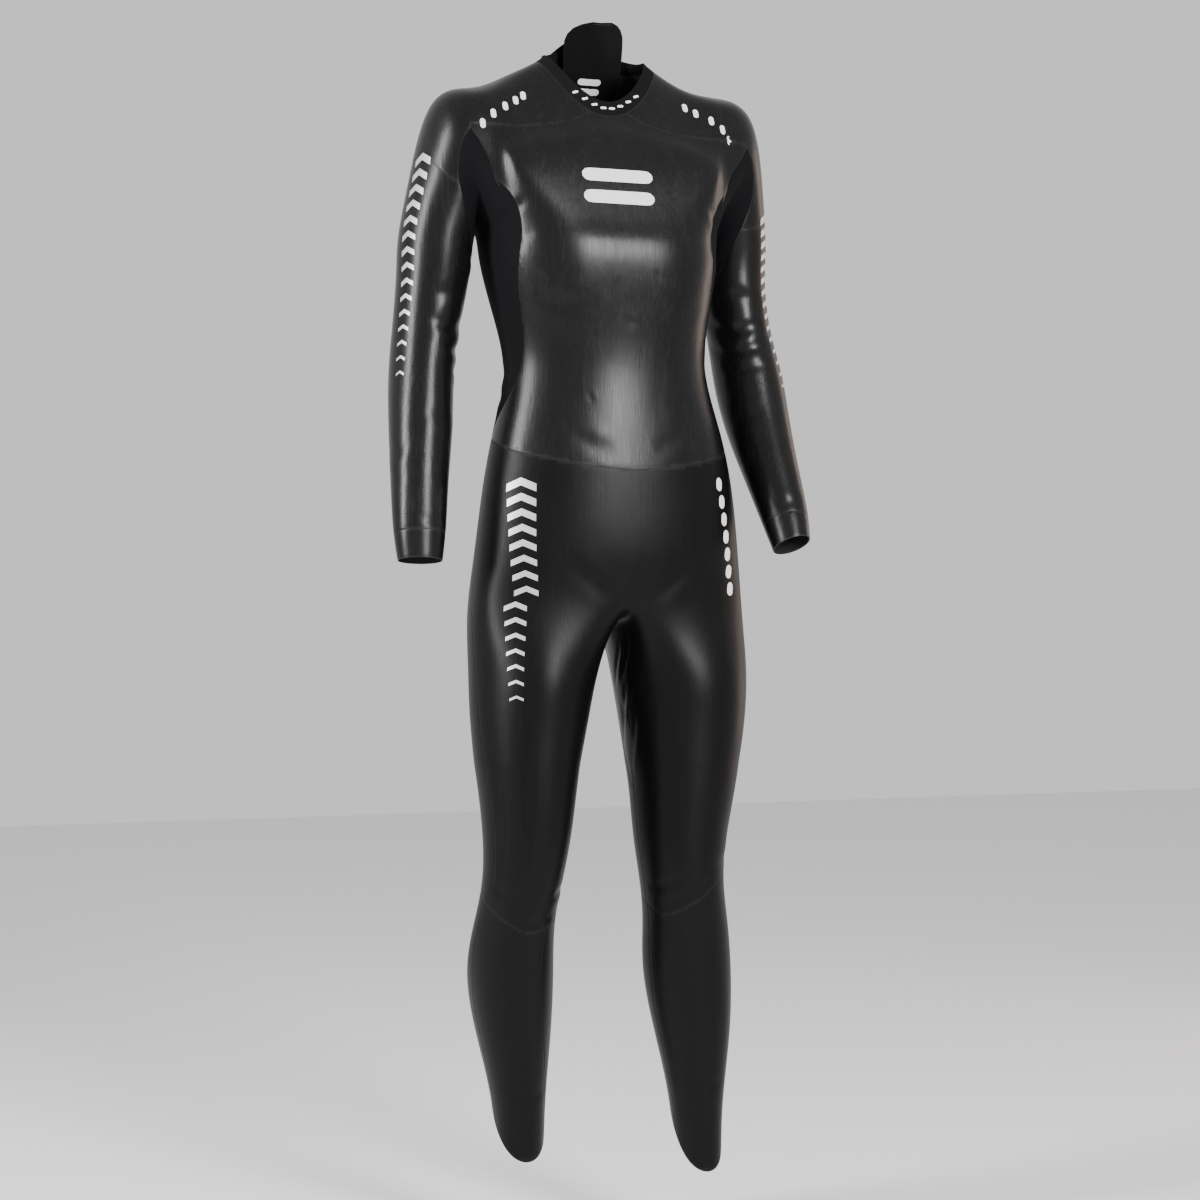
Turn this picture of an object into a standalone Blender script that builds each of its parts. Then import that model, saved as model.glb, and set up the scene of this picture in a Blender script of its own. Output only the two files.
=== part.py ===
"""A full-sleeve swim wetsuit, filled out with nobody in it.

One skin is drafted on a general figure: a coarse cage through section tables, smoothed by
subdivision. The skin is cut along the suit's seams into panels, and each panel gets a wall
of neoprene, with a small gap to its neighbours. Metres, +Z up, the front faces -Y, and the
wearer's left is +X. Heights in the tables are measured up from the sole of the figure.
"""

from collections import namedtuple
from math import atan2, copysign, cos, degrees, pi, radians, sin

import bmesh
import bpy
import numpy as np
from mathutils import Matrix, Vector
from mathutils.bvhtree import BVHTree

SHOULDER_LEVEL = 1.450  # height of the origin, in the hollow between the shoulders
SEAM_GAP = 0.0003  # left between two panels along a seam
SNAP = 0.28  # a skin point nearer to a seam than this share of its edge is moved onto it
LEAN = ((0.62, 0.000), (0.80, 0.009), (1.00, 0.011), (1.26, -0.003), (1.42, -0.005))  # height, shift

# Walls, from the thickest sheet to the thinnest.
CHEST_WALL = 0.0035
BODY_WALL = 0.0030
JERSEY_WALL = 0.0022
CUFF_WALL = 0.0018
ZIP_WALL = 0.0016

# The trunk, ring by ring from the collar's top edge down to the fork. Each ring has its
# height at the centre front, the side and the centre back, its half width, its depth to the
# front and to the back of a middle line, where that line lies, how square the section is
# (1 is an ellipse, less is squarer) and how late around the ring the side height is reached.
TrunkRing = namedtuple(
    "TrunkRing", "name front side back half_width fore aft middle square rise"
)
TRUNK = (
    TrunkRing("collar top", 1.449, 1.513, 1.533, 0.067, 0.052, 0.052, 0.012, 1.00, 2.0),
    TrunkRing("collar foot", 1.430, 1.503, 1.508, 0.078, 0.056, 0.056, 0.010, 0.95, 2.0),
    TrunkRing("mid shoulder", 1.408, 1.482, 1.478, 0.120, 0.076, 0.064, 0.014, 0.75, 4.0),
    TrunkRing("armhole top", 1.385, 1.468, 1.436, 0.163, 0.094, 0.076, 0.020, 0.50, 7.0),
    TrunkRing("armhole middle", 1.345, 1.345, 1.358, 0.158, 0.104, 0.092, 0.015, 0.42, 2.0),
    TrunkRing("armhole bottom", 1.288, 1.288, 1.292, 0.154, 0.113, 0.097, 0.010, 0.78, 2.0),
    TrunkRing("bust", 1.250, 1.250, 1.250, 0.151, 0.114, 0.100, 0.003, 0.84, 2.0),
    TrunkRing("under bust", 1.185, 1.185, 1.185, 0.139, 0.101, 0.094, 0.000, 0.88, 2.0),
    TrunkRing("waist", 1.115, 1.115, 1.115, 0.131, 0.090, 0.084, -0.002, 0.90, 2.0),
    TrunkRing("high hip", 1.045, 1.045, 1.045, 0.1465, 0.093, 0.090, 0.000, 0.90, 2.0),
    TrunkRing("hip", 0.970, 0.970, 0.970, 0.162, 0.096, 0.106, 0.000, 0.90, 2.0),
    TrunkRing("seat", 0.885, 0.885, 0.885, 0.172, 0.096, 0.122, 0.000, 0.90, 2.0),
    TrunkRing("fork", 0.824, 0.806, 0.812, 0.179, 0.086, 0.110, 0.000, 0.80, 2.0),
)
# Stations around one half of the trunk, in degrees from the centre front to the centre back.
STATIONS = (0, 20, 41, 62, 77, 90, 104, 120, 140, 160, 180)
LAST = len(STATIONS) - 1
AROUND = 2 * LAST
ARMHOLE = dict(first=3, last=7, top=3, middle=4, bottom=5)  # stations, and rings of TRUNK
BUST_FULLNESS = 0.006  # the front darts fill the cups this far past the section
SHOULDER_LIFT = {-1: -0.003, 1: 0.008}  # the left shoulder is held a little higher

# The fork: the line under the seat from the back to the front, shared by both legs.
ForkPoint = namedtuple("ForkPoint", "depth height")
FORK = (ForkPoint(0.056, 0.802), ForkPoint(0.002, 0.794), ForkPoint(-0.050, 0.802))

# The legs: half width and half depth of the left leg's section, the centre of each leg, which
# carries the pose, and the right leg's half width as a share of the left's. The right knee is
# bent and turned out a little, so its shank goes back; the left leg is straight.
LegRing = namedtuple(
    "LegRing", "name height half_width half_depth right_out right_y left_out left_y right_share"
)
LEGS = (
    LegRing("top of thigh", 0.742, 0.0880, 0.0920, 0.096, -0.002, 0.098, -0.002, 0.930),
    LegRing("thigh", 0.675, 0.0808, 0.0850, 0.101, -0.010, 0.104, -0.010, 0.905),
    LegRing("lower thigh", 0.600, 0.0693, 0.0755, 0.104, -0.020, 0.104, -0.020, 0.895),
    LegRing("above knee", 0.530, 0.0595, 0.0660, 0.107, -0.027, 0.098, -0.028, 0.905),
    LegRing("knee", 0.470, 0.0528, 0.0590, 0.113, -0.025, 0.098, -0.033, 0.925),
    LegRing("below knee", 0.415, 0.0538, 0.0570, 0.117, -0.006, 0.105, -0.028, 0.935),
    LegRing("calf", 0.350, 0.0556, 0.0590, 0.114, 0.018, 0.110, -0.022, 0.970),
    LegRing("low calf", 0.270, 0.0471, 0.0500, 0.103, 0.038, 0.115, -0.028, 0.990),
    LegRing("ankle", 0.180, 0.0328, 0.0380, 0.092, 0.052, 0.117, -0.036, 1.030),
    LegRing("below hem", 0.080, 0.0285, 0.0330, 0.087, 0.062, 0.118, -0.042, 1.060),
)
LEG_AROUND = LAST + 1 + len(FORK)

# The arms. The cut is shared: half sizes across the arm and fore-and-aft. The pose is each
# arm's own: its centre, how far the ring is tilted from upright (90 is level), how far the arm
# is pitched forward, and how much fuller than the cut it stands. The left elbow is bent more.
ArmRing = namedtuple("ArmRing", "name across along")
ARMS = (
    ArmRing("shoulder", 0.0800, 0.0680),
    ArmRing("upper arm top", 0.0520, 0.0590),
    ArmRing("armpit", 0.0455, 0.0545),
    ArmRing("upper arm", 0.0450, 0.0525),
    ArmRing("above elbow", 0.0415, 0.0480),
    ArmRing("elbow", 0.0405, 0.0490),
    ArmRing("forearm", 0.0390, 0.0430),
    ArmRing("mid forearm", 0.0355, 0.0365),
    ArmRing("wrist", 0.0315, 0.0300),
    ArmRing("cuff end", 0.0258, 0.0250),
)
ArmPose = namedtuple("ArmPose", "out y height tilt pitch fuller")
ARM_POSES = {
    -1: (
        ArmPose(0.1865, 0.018, 1.3720, 20, 0, 1.00),
        ArmPose(0.2005, 0.022, 1.3210, 50, 0, 1.02),
        ArmPose(0.2100, 0.024, 1.2740, 80, 0, 1.02),
        ArmPose(0.2120, 0.027, 1.2350, 90, 0, 1.02),
        ArmPose(0.2200, 0.030, 1.1700, 86, 2, 1.01),
        ArmPose(0.2285, 0.024, 1.1050, 84, 8, 1.00),
        ArmPose(0.2335, 0.009, 1.0400, 85, 13, 1.02),
        ArmPose(0.2395, -0.008, 0.9750, 86, 13, 1.02),
        ArmPose(0.2435, -0.022, 0.9150, 87, 11, 1.05),
        ArmPose(0.2450, -0.030, 0.8720, 88, 9, 1.08),
    ),
    1: (
        ArmPose(0.1845, 0.028, 1.3775, 20, 0, 1.00),
        ArmPose(0.1950, 0.036, 1.3240, 50, 0, 0.98),
        ArmPose(0.1990, 0.043, 1.2760, 80, 0, 0.98),
        ArmPose(0.2000, 0.046, 1.2370, 90, 0, 0.97),
        ArmPose(0.2095, 0.043, 1.1750, 88, 3, 0.99),
        ArmPose(0.2180, 0.031, 1.1120, 84, 14, 1.07),
        ArmPose(0.2220, 0.006, 1.0500, 82, 24, 1.04),
        ArmPose(0.2265, -0.026, 0.9880, 82, 27, 0.97),
        ArmPose(0.2310, -0.056, 0.9320, 82, 27, 0.94),
        ArmPose(0.2325, -0.075, 0.8940, 82, 27, 0.93),
    ),
}
ARM_AROUND = 2 * (ARMHOLE["last"] - ARMHOLE["first"]) + 4
SHOULDER_Y = 0.022  # what lies ahead of this is the front of a shoulder

# Seams. Angles are in degrees from the front, around the trunk or around a leg.
WAIST_SEAM = ((0, 0.985), (30, 0.989), (60, 1.001), (90, 1.022), (110, 1.033), (180, 1.045))
SIDE_PANEL_FRONT = (
    (1.03, 100), (1.05, 92), (1.08, 81), (1.12, 72), (1.20, 65.5), (1.294, 60), (1.32, 63),
    (1.337, 68), (1.36, 74), (1.42, 90),
)
SIDE_PANEL_BACK = ((1.03, 128), (1.12, 124), (1.20, 122), (1.29, 121), (1.35, 116), (1.40, 104))
ARM_GUSSET_INNER = (
    (1.30, 0.135), (1.337, 0.153), (1.363, 0.1615), (1.382, 0.173), (1.4, 0.184), (1.41, 0.190),
)
ARM_GUSSET_OUTER = (
    (1.215, 0.150), (1.235, 0.164), (1.26, 0.172), (1.2785, 0.178), (1.317, 0.192),
    (1.342, 0.199), (1.3726, 0.1985), (1.39, 0.194), (1.402, 0.186), (1.41, 0.178),
)
YOKE_FRONT = ((0.000, 1.442), (0.020, 1.436), (0.040, 1.425), (0.090, 1.412), (0.180, 1.408))
YOKE_BACK = ((0.000, 1.400), (0.090, 1.396), (0.180, 1.392))
UPPER_ARM_SEAM = {
    -1: ((0.198, 1.337), (0.21, 1.343), (0.23, 1.365), (0.25, 1.380)),
    1: ((0.198, 1.303), (0.21, 1.306), (0.23, 1.315), (0.25, 1.324)),
}
SIDE_PANEL_TOP = 1.406
GUSSET_APEX = 0.1865  # how far out the side panel's tip is
CUFF_LENGTH = 0.034
GUSSET_SPREAD = ((0.585, 0), (0.64, 12), (0.70, 17), (0.745, 20), (0.80, 20))
LEG_OUTER_SEAM = (
    (0.40, 62), (0.47, 61), (0.53, 63), (0.58, 68), (0.64, 71), (0.73, 80), (0.80, 89), (0.90, 96), (1.03, 100),
)
LEG_INNER_SEAM = {-1: ((0.40, -60), (0.59, -80)), 1: ((0.40, -82), (0.59, -86))}
KNEE_SEAM = {
    -1: (
        (-180, 0.467), (-120, 0.461), (-80, 0.447), (-36, 0.424), (0, 0.415),
        (31, 0.4295), (70, 0.447), (120, 0.461), (180, 0.467),
    ),
    1: (
        (-180, 0.465), (-120, 0.455), (-80, 0.441), (-50, 0.430), (-10, 0.444),
        (25, 0.466), (57, 0.479), (120, 0.476), (180, 0.465),
    ),
}
SHIN_INNER_SEAM = {
    -1: ((0.13, -60), (0.22, -43), (0.30, -25), (0.37, -22), (0.42, -28)),
    1: ((0.13, -84), (0.22, -80), (0.30, -78), (0.37, -77), (0.44, -80)),
}
SHIN_OUTER_SEAM = {-1: ((0.13, 84), (0.30, 78), (0.44, 80)), 1: ((0.13, 70), (0.30, 60), (0.44, 62))}
HEM = {-1: (0.157, 0.046), 1: (0.152, 0.047)}  # middle height, and how far the front dips

BACK_EDGE_ANGLE = 108  # beyond this, at waist level, a face belongs to the back panel

# The zip: a closed chain up the middle of the back, from above the waist to the collar.
ZIP_BOTTOM = 1.085
ZIP_TOP = 1.5005
ZIP_HALF = 0.0032
# Its slider, in sizes along the chain (s is zero at the chain's upper end) and across it.
SLIDER_LENGTH = 0.0125
SLIDER_WIDTH = 0.0110
SLIDER_PLATE = 0.0014
SLIDER_MIDDLE = -0.0008
SLIDER_POST_S = 0.0030
SLIDER_POST = 0.0030
LUG_WIDTH = 0.0030
LUG_LENGTH = 0.0060
LUG_HEIGHT = 0.0030

# The flap that lies between the zip and the neck. It is sewn to the inside of the back yoke
# and stands up past the collar: height, how far it leans forward, how far it bows, and where
# its right and left edges are.
FLAP_WALL = 0.0020
FlapRow = namedtuple("FlapRow", "height forward bow right left")
FLAP = (
    FlapRow(1.439, 0.0001, 0.0000, -0.030, 0.048),
    FlapRow(1.450, 0.0009, 0.0000, -0.030, 0.048),
    FlapRow(1.466, 0.0050, 0.0015, -0.030, 0.048),
    FlapRow(1.482, 0.0070, 0.0040, -0.030, 0.048),
    FlapRow(1.500, 0.0095, 0.0065, -0.030, 0.048),
    FlapRow(1.516, 0.0120, 0.0080, -0.030, 0.048),
    FlapRow(1.530, 0.0142, 0.0090, -0.030, 0.048),
    FlapRow(1.540, 0.0158, 0.0090, -0.030, 0.048),
    FlapRow(1.549, 0.0172, 0.0080, -0.026, 0.048),
    FlapRow(1.558, 0.0186, 0.0060, -0.017, 0.046),
    FlapRow(1.565, 0.0196, 0.0040, -0.003, 0.042),
    FlapRow(1.5686, 0.0202, 0.0020, 0.012, 0.036),
)
FLAP_COLUMNS = 8

# The collar's closing tab, laid round the outside of its back. Its edge stands above the
# collar in a shallow arc.
TAB_WALL = 0.0018
TAB_RIGHT = -0.048
TAB_LEFT = 0.040
TAB_OVERLAP = 0.5  # how far down from the collar's middle to its foot the tab reaches
TAB_RISE = 0.003
TAB_CROWN = 0.015
TAB_ROWS = 3


def smooth(t, points):
    """Reads at t the curve through (t, value) points; past its ends it stays level."""
    ts, values = np.array(points, float).T
    t = min(max(t, ts[0]), ts[-1])
    slopes = np.gradient(values, ts)
    i = min(int(np.searchsorted(ts, t, side="right")) - 1, len(ts) - 2)
    span = ts[i + 1] - ts[i]
    s = (t - ts[i]) / span
    start = values[i] * (1 + 2 * s) * (1 - s) ** 2 + slopes[i] * span * s * (1 - s) ** 2
    end = values[i + 1] * s * s * (3 - 2 * s) + slopes[i + 1] * span * s * s * (s - 1)
    return float(start + end)


# ---------------------------------------------------------------- the cage


def trunk_point(ring, angle, side):
    """The point of a trunk ring at an angle from the front, on the left (1) or right (-1)."""
    across = sin(radians(angle))
    ahead = cos(radians(angle))
    reach = ring.fore if ahead > 0 else ring.aft
    end = ring.front if ahead > 0 else ring.back
    x = side * ring.half_width * across**ring.square
    y = ring.middle - np.sign(ahead) * reach * abs(ahead) ** ring.square
    if ring.name in ("bust", "armhole bottom", "under bust"):
        y -= BUST_FULLNESS * max(sin(radians(2.3 * angle)), 0) * (ahead > 0.4)
    lift = SHOULDER_LIFT[side] if ring.name == "armhole top" else 0
    height = end + (ring.side + lift - end) * across**ring.rise
    return Vector((x, y, height))


def leg_centre(height, side):
    """Where a leg's centre line is at a height, as x and y."""
    rings = LEGS[::-1]
    out = [(ring.height, ring.left_out if side > 0 else ring.right_out) for ring in rings]
    y = [(ring.height, ring.left_y if side > 0 else ring.right_y) for ring in rings]
    return side * smooth(height, out), smooth(height, y)


def leg_ring(ring, side):
    """The points of a leg's section, from its inner front round the outside to the fork."""
    x, y = leg_centre(ring.height, side)
    share = 1 if side > 0 else ring.right_share
    points = []
    for k in range(LEG_AROUND):
        angle = radians(90 + (k - LAST / 2) * 360 / LEG_AROUND)
        out = ring.half_width * share * sin(angle)
        ahead = ring.half_depth * cos(angle)
        points.append(Vector((x + side * out, y - ahead, ring.height)))
    return points


def arm_ring(ring, pose, side):
    """The points of an arm's section, from its top or outer side round by the front."""
    tilt, pitch = radians(pose.tilt), radians(pose.pitch)
    centre = Vector((pose.out, pose.y, pose.height))
    outward = Vector((sin(tilt), 0, cos(tilt)))
    forward = Vector((0, -cos(pitch), sin(pitch)))
    points = []
    for j in range(ARM_AROUND):
        angle = 2 * pi * j / ARM_AROUND
        across = ring.across * pose.fuller * cos(angle)
        point = centre + across * outward + ring.along * sin(angle) * forward
        points.append(Vector((side * point.x, point.y, point.z)))
    return points


def build_cage():
    """The coarse cage of quads. A face's material index says which limb it belongs to."""
    cage = bmesh.new()

    def add_face(points, limb, side):
        face = cage.faces.new(points if side > 0 else points[::-1])
        face.material_index = LIMBS.index((limb, side))

    rings = []
    for ring in TRUNK:
        left = [cage.verts.new(trunk_point(ring, angle, 1)) for angle in STATIONS]
        right = [cage.verts.new(trunk_point(ring, angle, -1)) for angle in STATIONS[1:-1]]
        rings.append((left, [left[0], *right, left[-1]]))
    for upper in range(len(TRUNK) - 1):
        limb = "collar" if upper == 0 else "trunk"
        beside_arm = ARMHOLE["top"] <= upper < ARMHOLE["bottom"]
        for k in range(LAST):
            if beside_arm and ARMHOLE["first"] <= k < ARMHOLE["last"]:
                continue
            for half, side in ((0, 1), (1, -1)):
                above, below = rings[upper][half], rings[upper + 1][half]
                add_face([above[k], below[k], below[k + 1], above[k + 1]], limb, side)

    fork = [cage.verts.new((0, point.depth, point.height)) for point in FORK]
    for half, side in ((0, 1), (1, -1)):
        above = [*rings[-1][half], *fork]
        for ring in LEGS:
            below = [cage.verts.new(point) for point in leg_ring(ring, side)]
            for k in range(LEG_AROUND):
                n = (k + 1) % LEG_AROUND
                add_face([above[k], below[k], below[n], above[n]], "leg", side)
            above = below

        top, middle, bottom = (rings[ARMHOLE[row]][half] for row in ("top", "middle", "bottom"))
        first, last = ARMHOLE["first"], ARMHOLE["last"]
        crown = (first + last) // 2
        above = [top[k] for k in range(crown, first - 1, -1)]
        above.append(middle[first])
        above += bottom[first : last + 1]
        above.append(middle[last])
        above += [top[k] for k in range(last, crown, -1)]
        for ring, pose in zip(ARMS, ARM_POSES[side]):
            below = [cage.verts.new(point) for point in arm_ring(ring, pose, side)]
            for j in range(ARM_AROUND):
                n = (j + 1) % ARM_AROUND
                add_face([above[n], below[n], below[j], above[j]], "arm", side)
            above = below

    for vert in [vert for vert in cage.verts if not vert.link_faces]:
        cage.verts.remove(vert)
    push_out(cage)
    return cage


def limit_point(vert):
    """Where repeated subdivision would carry a cage point."""
    if vert.is_boundary:
        ends = [edge.other_vert(vert) for edge in vert.link_edges if edge.is_boundary]
        return (4 * vert.co + ends[0].co + ends[1].co) / 6
    n = len(vert.link_edges)
    near = [edge.other_vert(vert) for edge in vert.link_edges]
    total = n * n * vert.co
    for other in near:
        total = total + 4 * other.co
    for face in vert.link_faces:
        for other in face.verts:
            if other is not vert and other not in near:
                total = total + other.co
    return total / (n * (n + 5))


def push_out(cage, passes=3):
    """Moves the cage out until the smooth skin passes through the tables' sections."""
    targets = [vert.co.copy() for vert in cage.verts]
    for _ in range(passes):
        limits = [limit_point(vert) for vert in cage.verts]
        for vert, target, limit in zip(cage.verts, targets, limits):
            vert.co += target - limit


LIMBS = [(limb, side) for limb in ("trunk", "collar", "arm", "leg") for side in (1, -1)]


def smooth_skin(cage, levels):
    """The cage subdivided onto its limit surface, as an open mesh."""
    mesh = bpy.data.meshes.new("skin")
    for _ in LIMBS:
        mesh.materials.append(None)
    cage.to_mesh(mesh)
    cage.free()
    holder = bpy.data.objects.new("skin", mesh)
    bpy.context.scene.collection.objects.link(holder)
    subdivision = holder.modifiers.new("smooth", "SUBSURF")
    subdivision.levels = subdivision.render_levels = levels
    graph = bpy.context.evaluated_depsgraph_get()
    skin = bmesh.new()
    skin.from_object(holder, graph)
    bpy.data.objects.remove(holder)
    skin.normal_update()
    return skin


# ---------------------------------------------------------------- seams


def place_of(vert):
    """The limb and the side that a skin point is measured on. Where two meet, the trunk's."""
    found = min(face.material_index for face in vert.link_faces)
    limb, side = LIMBS[found]
    if vert.co.x:
        side = 1 if vert.co.x > 0 else -1
    return limb, side


def around_trunk(point):
    return degrees(atan2(abs(point.x), -point.y))


def around_leg(point, side):
    """Degrees from the leg's front, positive outwards and negative inwards."""
    x, y = leg_centre(point.z, side)
    return degrees(atan2(side * (point.x - x), -(point.y - y)))


def arc(angle, radius):
    return radians(angle) * radius


def above_hem(point, limb, side):
    if limb != "leg":
        return 1.0
    middle, dip = HEM[side]
    return point.z - (middle - dip * cos(radians(around_leg(point, side))))


def below_waist(point, limb, side):
    if limb == "leg":
        return 0.1
    if limb != "trunk":
        return -0.1
    return smooth(around_trunk(point), WAIST_SEAM) - point.z


def behind_side_front(point, limb, side):
    """Positive past the side panel's front edge, on the trunk and on the arm's inner front."""
    if limb == "collar":
        return -0.1
    if limb == "trunk":
        return arc(around_trunk(point) - smooth(point.z, SIDE_PANEL_FRONT), 0.15)
    if point.y > SHOULDER_Y:
        return min(0.1, SIDE_PANEL_TOP - point.z)
    return min(abs(point.x) - smooth(point.z, ARM_GUSSET_INNER), SIDE_PANEL_TOP - point.z)


def before_side_back(point, limb, side):
    if limb == "trunk":
        return arc(smooth(point.z, SIDE_PANEL_BACK) - around_trunk(point), 0.15)
    if limb == "arm" and point.y > SHOULDER_Y:
        return abs(point.x) - smooth(point.z, ARM_GUSSET_INNER)
    return 0.1


def inside_arm_gusset(point, limb, side):
    """Positive where the side panel runs out along the underside of the arm."""
    if limb == "trunk" and point.z < SIDE_PANEL_TOP - 0.1:
        return 0.1
    below_top = SIDE_PANEL_TOP - point.z
    return min(smooth(point.z, ARM_GUSSET_OUTER) - abs(point.x), below_top)


def above_yoke(point, limb, side):
    if limb == "arm" and abs(point.x) > GUSSET_APEX:
        return point.z - smooth(abs(point.x), UPPER_ARM_SEAM[side])
    seam = YOKE_FRONT if point.y < SHOULDER_Y else YOKE_BACK
    return point.z - smooth(abs(point.x), seam)


def past_cuff_seam(point, limb, side):
    if limb != "arm":
        return -0.1
    end, before = ARM_POSES[side][-1], ARM_POSES[side][-2]
    axis = Vector((end.out - before.out, end.y - before.y, end.height - before.height))
    arm_end = Vector((end.out, end.y, end.height))
    here = Vector((abs(point.x), point.y, point.z))
    return (here - arm_end).dot(axis.normalized()) + CUFF_LENGTH


def inside_gusset(point, limb, side):
    """Positive in the crotch gusset, a long strip over the fork and down both inner legs."""
    if limb != "leg":
        return -0.1
    from_inner = abs(abs(around_leg(point, side) - 90) - 180)
    return arc(smooth(point.z, GUSSET_SPREAD) - from_inner, 0.09) - 0.001


def on_front(point, limb, side):
    outer = smooth(point.z, LEG_OUTER_SEAM)
    if limb == "leg":
        angle = around_leg(point, side)
        inner = smooth(point.z, LEG_INNER_SEAM[side])
        return arc(min(outer - angle, angle - inner), 0.07)
    return arc(outer - around_trunk(point), 0.17)


def below_knee(point, limb, side):
    if limb != "leg":
        return -0.1
    return smooth(around_leg(point, side), KNEE_SEAM[side]) - point.z


def on_shin(point, limb, side):
    angle = around_leg(point, side)
    outer = smooth(point.z, SHIN_OUTER_SEAM[side])
    inner = smooth(point.z, SHIN_INNER_SEAM[side])
    return arc(min(outer - angle, angle - inner), 0.05)


def on_zip(point, limb, side):
    return ZIP_HALF - abs(point.x) if point.y > 0 else -0.1


def cut_along(skin, panel, old, new, field, snap=SNAP):
    """Cuts the faces of panel old where a field is zero. Those where it is positive become
    panel new. Points close to the seam are first slid onto it, unless another seam holds them."""
    faces = [face for face in skin.faces if face[panel] == old]
    verts = {vert for face in faces for vert in face.verts}
    value = {vert: field(vert.co, *place_of(vert)) for vert in verts}
    held = {v for v in verts if v.is_boundary or len({face[panel] for face in v.link_faces}) > 1}
    edges = {edge for face in faces for edge in face.edges}
    slides = {}
    for edge in edges:
        one, other = edge.verts
        for a, b in ((one, other), (other, one)):
            if value[a] * value[b] < 0:
                share = value[a] / (value[a] - value[b])
                limit = 0.02 if a in held else snap
                if share < min(limit, slides.get(a, (1,))[0]):
                    slides[a] = (share, a.co.lerp(b.co, share))
    for vert, (_, place) in slides.items():
        if vert not in held:
            vert.co = place
        value[vert] = 0.0
    for edge in edges:
        a, b = edge.verts
        if value[a] * value[b] < 0:
            share = value[a] / (value[a] - value[b])
            _, middle = bmesh.utils.edge_split(edge, a, share)
            value[middle] = 0.0
    for face in faces:
        split_face(face, value)
    for face in skin.faces:
        if face[panel] == old and sum(value.get(vert, 0) for vert in face.verts) > 0:
            face[panel] = new


def split_face(face, value):
    """Splits a face between two points on the seam that have unlike sides between them."""
    loop = list(face.verts)
    zeros = [i for i, vert in enumerate(loop) if value.get(vert) == 0.0]
    for first, i in enumerate(zeros):
        for j in zeros[first + 1 :]:
            one = sum(value[vert] for vert in loop[i + 1 : j])
            other = sum(value[vert] for vert in loop[j + 1 :] + loop[:i])
            if one * other < 0:
                bmesh.utils.face_split(face, loop[i], loop[j])
                return


PANELS = (
    "waste", "trunk", "front_panel", "back_panel", "side_panel", "yoke", "sleeve", "cuff", "collar",
    "pants_front", "pants_back", "crotch_gusset", "lower_leg", "shin", "calf", "zip_half",
)


def draft_panels(skin):
    """Cuts the skin into the suit's panels and returns the face layer that names them."""
    panel = skin.faces.layers.int.new("panel")
    for face in skin.faces:
        limb, _ = LIMBS[face.material_index]
        face[panel] = PANELS.index("collar" if limb == "collar" else "trunk")

    def cut(old, new, field, snap=SNAP):
        cut_along(skin, panel, PANELS.index(old), PANELS.index(new), field, snap)

    def past_gusset(centre, face):
        on_arm = LIMBS[face.material_index][0] == "arm"
        return on_arm and abs(centre.x) > smooth(centre.z, ARM_GUSSET_INNER)

    def rename(old, new, wanted):
        for face in skin.faces:
            if face[panel] == PANELS.index(old) and wanted(face.calc_center_median(), face):
                face[panel] = PANELS.index(new)

    cut("trunk", "waste", lambda *place: -above_hem(*place))
    bmesh.ops.delete(
        skin, geom=[face for face in skin.faces if face[panel] == 0], context="FACES"
    )
    cut("trunk", "pants_front", below_waist)
    cut("trunk", "side_panel", behind_side_front)
    cut("side_panel", "trunk", lambda *place: -before_side_back(*place), snap=0.1)
    cut("side_panel", "trunk", lambda *place: -inside_arm_gusset(*place))
    cut("trunk", "yoke", above_yoke)
    rename("trunk", "sleeve", past_gusset)
    rename("trunk", "back_panel", lambda centre, _: around_trunk(centre) > BACK_EDGE_ANGLE)
    rename("trunk", "front_panel", lambda *_: True)
    cut("back_panel", "zip_half", on_zip, snap=0)
    cut("yoke", "zip_half", on_zip, snap=0)
    rename("zip_half", "back_panel", lambda centre, _: centre.z < ZIP_BOTTOM)
    cut("zip_half", "waste", lambda point, *_: point.z - ZIP_TOP, snap=0)
    cut("sleeve", "cuff", past_cuff_seam)
    cut("pants_front", "crotch_gusset", inside_gusset)
    cut("pants_front", "lower_leg", below_knee)
    cut("pants_front", "pants_back", lambda *place: -on_front(*place))
    cut("lower_leg", "shin", on_shin)
    rename("lower_leg", "calf", lambda *_: True)
    return panel


# ---------------------------------------------------------------- walls


def inward(loop):
    """The direction from a border edge into its face, along the surface."""
    along = loop.link_loop_next.vert.co - loop.vert.co
    return loop.face.normal.cross(along).normalized()


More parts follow.
